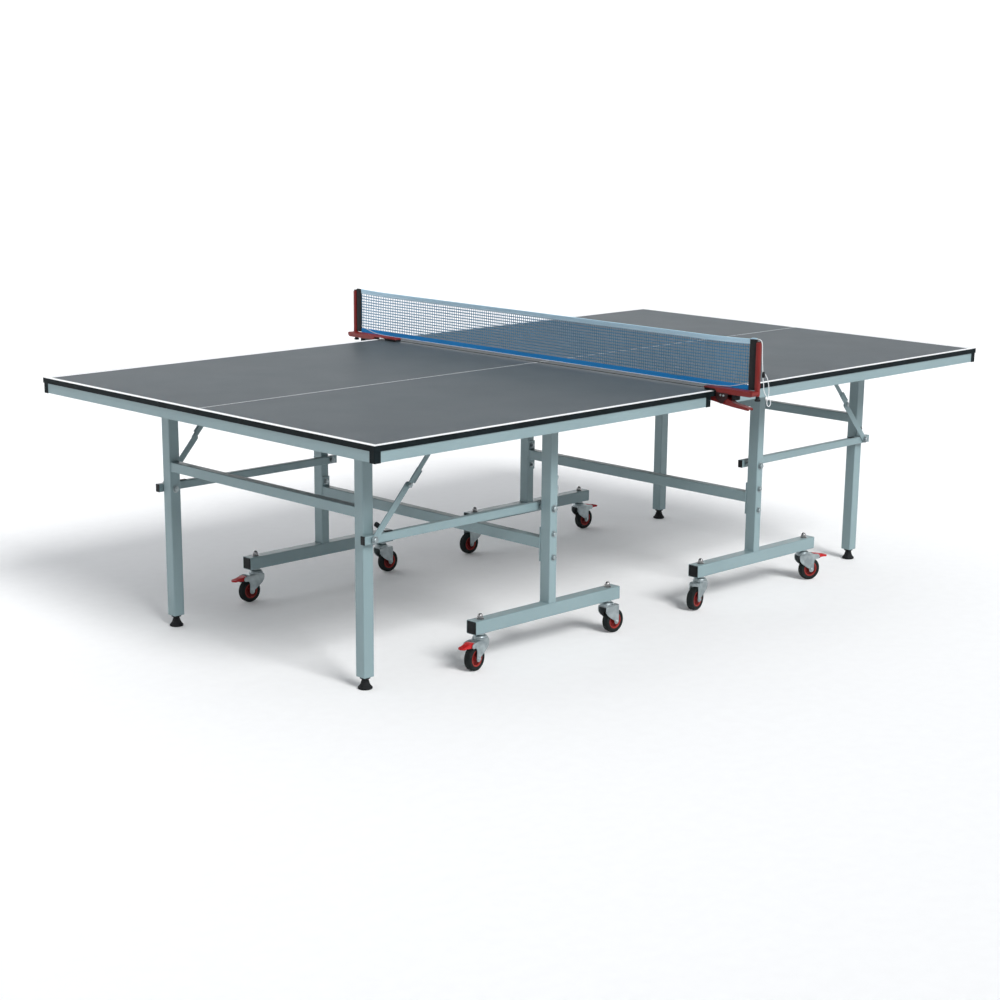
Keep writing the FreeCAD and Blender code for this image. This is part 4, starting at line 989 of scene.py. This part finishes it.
def sleeves():
    """The gathered sleeves that slide over the posts."""
    low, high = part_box("net_mesh")
    base, cap = low.z - TAPE_WIDE + 0.003, high.z + TAPE_WIDE + 0.0025
    inner, outer = high.y - 0.0005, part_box("net_tapes")[1].y
    half = [(-0.003, inner), (-0.004, inner + 0.003), (-0.0042, outer - 0.0025),
            (-0.003, outer)]
    shape = half + [(-x, y) for x, y in reversed(half)]
    levels = 24
    piece = Piece()
    for _row, side_y in ROWS:
        rings = []
        for level in range(levels + 1):
            share = level / levels
            pinch = 1.0 - 0.1 * abs(math.sin(5.0 * math.pi * share))
            rings.append([(NET_X + x * pinch, side_y * y, base + (cap - base) * share)
                          for x, y in shape])
        piece.put(loft_part(rings), "sleeve")
    return piece.done("net_sleeves", "left_table", "net_tape", (), 60)


def profile_plane(side_y):
    """Puts a slab's outline in distance from the middle of the table and Z."""
    mirror = Matrix.Diagonal((1, side_y, 1, 1))
    return at(ARM_X, 0, 0) @ mirror @ CROSS_PLANE


def net_bracket(row, side_y):
    """Clamp arm, side plates with rivets, and the post on its rounded elbow."""
    low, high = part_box(row + "_net_bracket")
    inner, outer = sorted((abs(low.y), abs(high.y)))
    across = profile_plane(side_y)
    piece = Piece()
    shell = [(inner, ARM_REST), (TABLE_SIDE + 0.0015, ARM_REST),
             (TABLE_SIDE + 0.0055, ARM_REST - 0.004), (TABLE_SIDE + 0.0095, ARM_LOW + 0.0003),
             (outer - 0.01, ARM_LOW + 0.0003)]
    shell += arc((outer - 0.01, ARM_LOW + 0.0103), 0.01, -80, 0, 6)
    shell += [(outer, ARM_TOP), (inner + 0.004, ARM_TOP),
              (inner, ARM_REST + 0.0025)]
    piece.put(slab_part(shell, 0.03), "clamp", across, 0.0018, 3)
    pivot = PLACES[row + "_clamp_squeeze"]
    pivot_side = abs(pivot.y)
    plate_in = TABLE_SIDE + 0.0055
    plate = [(plate_in, ARM_LOW + 0.003), (plate_in + 0.046, ARM_LOW + 0.003),
             (plate_in + 0.044, ARM_LOW - 0.013)]
    plate += arc((pivot_side + 0.003, pivot.z + 0.003), 0.0115, -10, -150, 8)
    plate += [(plate_in, ARM_LOW - 0.016)]
    rivet = lathe_part([(0.0, 0.0), (0.0034, 0.0), (0.003, 0.001), (0.0, 0.0017)], 20)
    for hand in (-1, 1):
        skin = at(hand * 0.014, 0, 0) @ across
        piece.put(slab_part(plate, 0.0022), "clamp_dark", skin, 0.0005)
        turn = Matrix.Rotation(math.radians(90 * hand), 4, "Y")
        for y in (pivot_side, pivot_side + 0.012):
            piece.put(rivet, "zinc",
                      at(ARM_X + hand * 0.0151, side_y * y, ARM_LOW - 0.0055) @ turn)
    piece.put(box_part((0.02, 0.017, 0.02)), "rubber",
              at(ARM_X, side_y * (TABLE_SIDE + 0.0715), ARM_LOW - 0.0053), 0.0012)
    piece.put(box_part((0.014, 0.014, high.z - ARM_LOW)), "clamp",
              at(NET_X, side_y * POST_SIDE, (ARM_LOW + high.z) / 2), 0.0028, 3)
    piece.put(rod_part(0.0042, -0.0165, 0.0165, 20), "clamp_dark", at(*pivot) @ ALONG_X)
    piece.done(row + "_bracket_detail", "left_table", "clamp_red", [row + "_net_bracket"])


def clamp_lever(row, side_y):
    """The lower jaw and tapered handle, pressed as one channel."""
    across = profile_plane(side_y)
    pivot = PLACES[row + "_clamp_squeeze"]
    y, z = abs(pivot.y), pivot.z
    low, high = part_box(row + "_clamp_lever")
    tip = max(abs(low.y), abs(high.y))
    jaw = min(abs(low.y), abs(high.y))
    pad_top = high.z
    piece = Piece()
    cheek = [(jaw, pad_top - 0.003), (jaw, pad_top - 0.008), (jaw + 0.02, z - 0.004),
             (y - 0.004, z - 0.0085), (y + 0.04, z - 0.014), (tip - 0.003, low.z + 0.0006),
             (tip, low.z + 0.002), (tip, low.z + 0.006), (tip - 0.002, low.z + 0.0085),
             (y + 0.05, z - 0.002), (y + 0.022, pad_top - 0.0006), (y - 0.012, pad_top - 0.0006)]
    for hand in (-1, 1):
        piece.put(slab_part(cheek, 0.002), "clamp", at(hand * 0.0088, 0, 0) @ across, 0.0005)
    spine = [(jaw, pad_top - 0.0058), (y - 0.01, pad_top - 0.0058), (y - 0.01, pad_top - 0.003),
             (jaw, pad_top - 0.003)]
    piece.put(slab_part(spine, 0.0195), "clamp", across, 0.0006)
    handle = [(y + 0.012, z - 0.001), (y + 0.05, z - 0.006), (tip - 0.001, low.z + 0.004),
              (tip, low.z + 0.006), (tip - 0.002, low.z + 0.0085), (y + 0.05, z - 0.002),
              (y + 0.02, z + 0.006)]
    piece.put(slab_part(handle, 0.0195), "clamp", across, 0.0008)
    piece.put(box_part((0.0195, 0.026, 0.003)), "rubber",
              at(ARM_X, side_y * (y - 0.04), pad_top - 0.0015), 0.0008)
    barrel = ring_part(mirrored([(0.0031, -0.0082), (0.0062, -0.0082)]), 24)
    piece.put(barrel, "zinc", at(*pivot) @ ALONG_X)
    piece.done(row + "_lever_detail", row + "_clamp", "clamp_red", [row + "_clamp_lever"])


def pads_and_plugs():
    """Pads under the clamp arms, adjusting knobs and plugs in the post tops."""
    piece = Piece()
    knob = [(0.0, -0.014), (0.008, -0.014), (0.009, -0.0128), (0.009, -0.0104),
            (0.0072, -0.009), (0.0062, -0.006), (0.0058, 0.0), (0.0, 0.0)]
    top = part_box("net_pads_and_plugs")[1].z
    for row, side_y in ROWS:
        inner = min(abs(corner.y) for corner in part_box(row + "_net_bracket"))
        piece.put(box_part((0.026, 0.054, 0.007)), "rubber",
                  at(ARM_X, side_y * (inner + 0.029), TABLE_TOP + 0.0038), 0.001)
        piece.put(lathe_part(knob, 28), "black", at(NET_X + 0.003, side_y * POST_SIDE, ARM_LOW))
        piece.put(box_part((0.0122, 0.0122, 0.0022)), "clamp_dark",
                  at(NET_X, side_y * POST_SIDE, top - 0.0013), 0.001)
    piece.done("net_fittings", "left_table", "black_plastic", ["net_pads_and_plugs"])


# ---------------------------------------------------------------- floor

def floor():
    """A wide pale floor that curves up into a round backdrop."""
    flat, bend = 10.0, 7.0
    profile = [(0.0, 0.0), (flat / 2, 0.0)] + arc((flat, bend), bend, -90, 0, 9)
    profile += [(flat + bend, bend + 2.0)]
    piece = Piece()
    piece.put(lathe_part(profile, 96), "floor")
    mesh = bpy.data.meshes.new("floor")
    piece.mesh.to_mesh(mesh)
    piece.mesh.free()
    mesh.shade_smooth()
    mesh.materials.append(MATERIALS["floor"])
    made = bpy.data.objects.new("floor", mesh)
    bpy.context.scene.collection.objects.link(made)


MATERIALS = make_materials()
set_camera()
net_cord()
for side_name, side_sign in SIDES:
    table_half(side_name, side_sign)
    wheeled_frame(side_name, side_sign)
    casters(side_name)
    end_legs(side_name, side_sign)
    link_bars(side_name, side_sign)
    stays(side_name, side_sign)
dress("storage_hook", "zinc")
net_mesh([top_tape(), bottom_tape(), sleeves()])
for row_name, row_sign in ROWS:
    net_bracket(row_name, row_sign)
    clamp_lever(row_name, row_sign)
pads_and_plugs()
floor()
set_light()
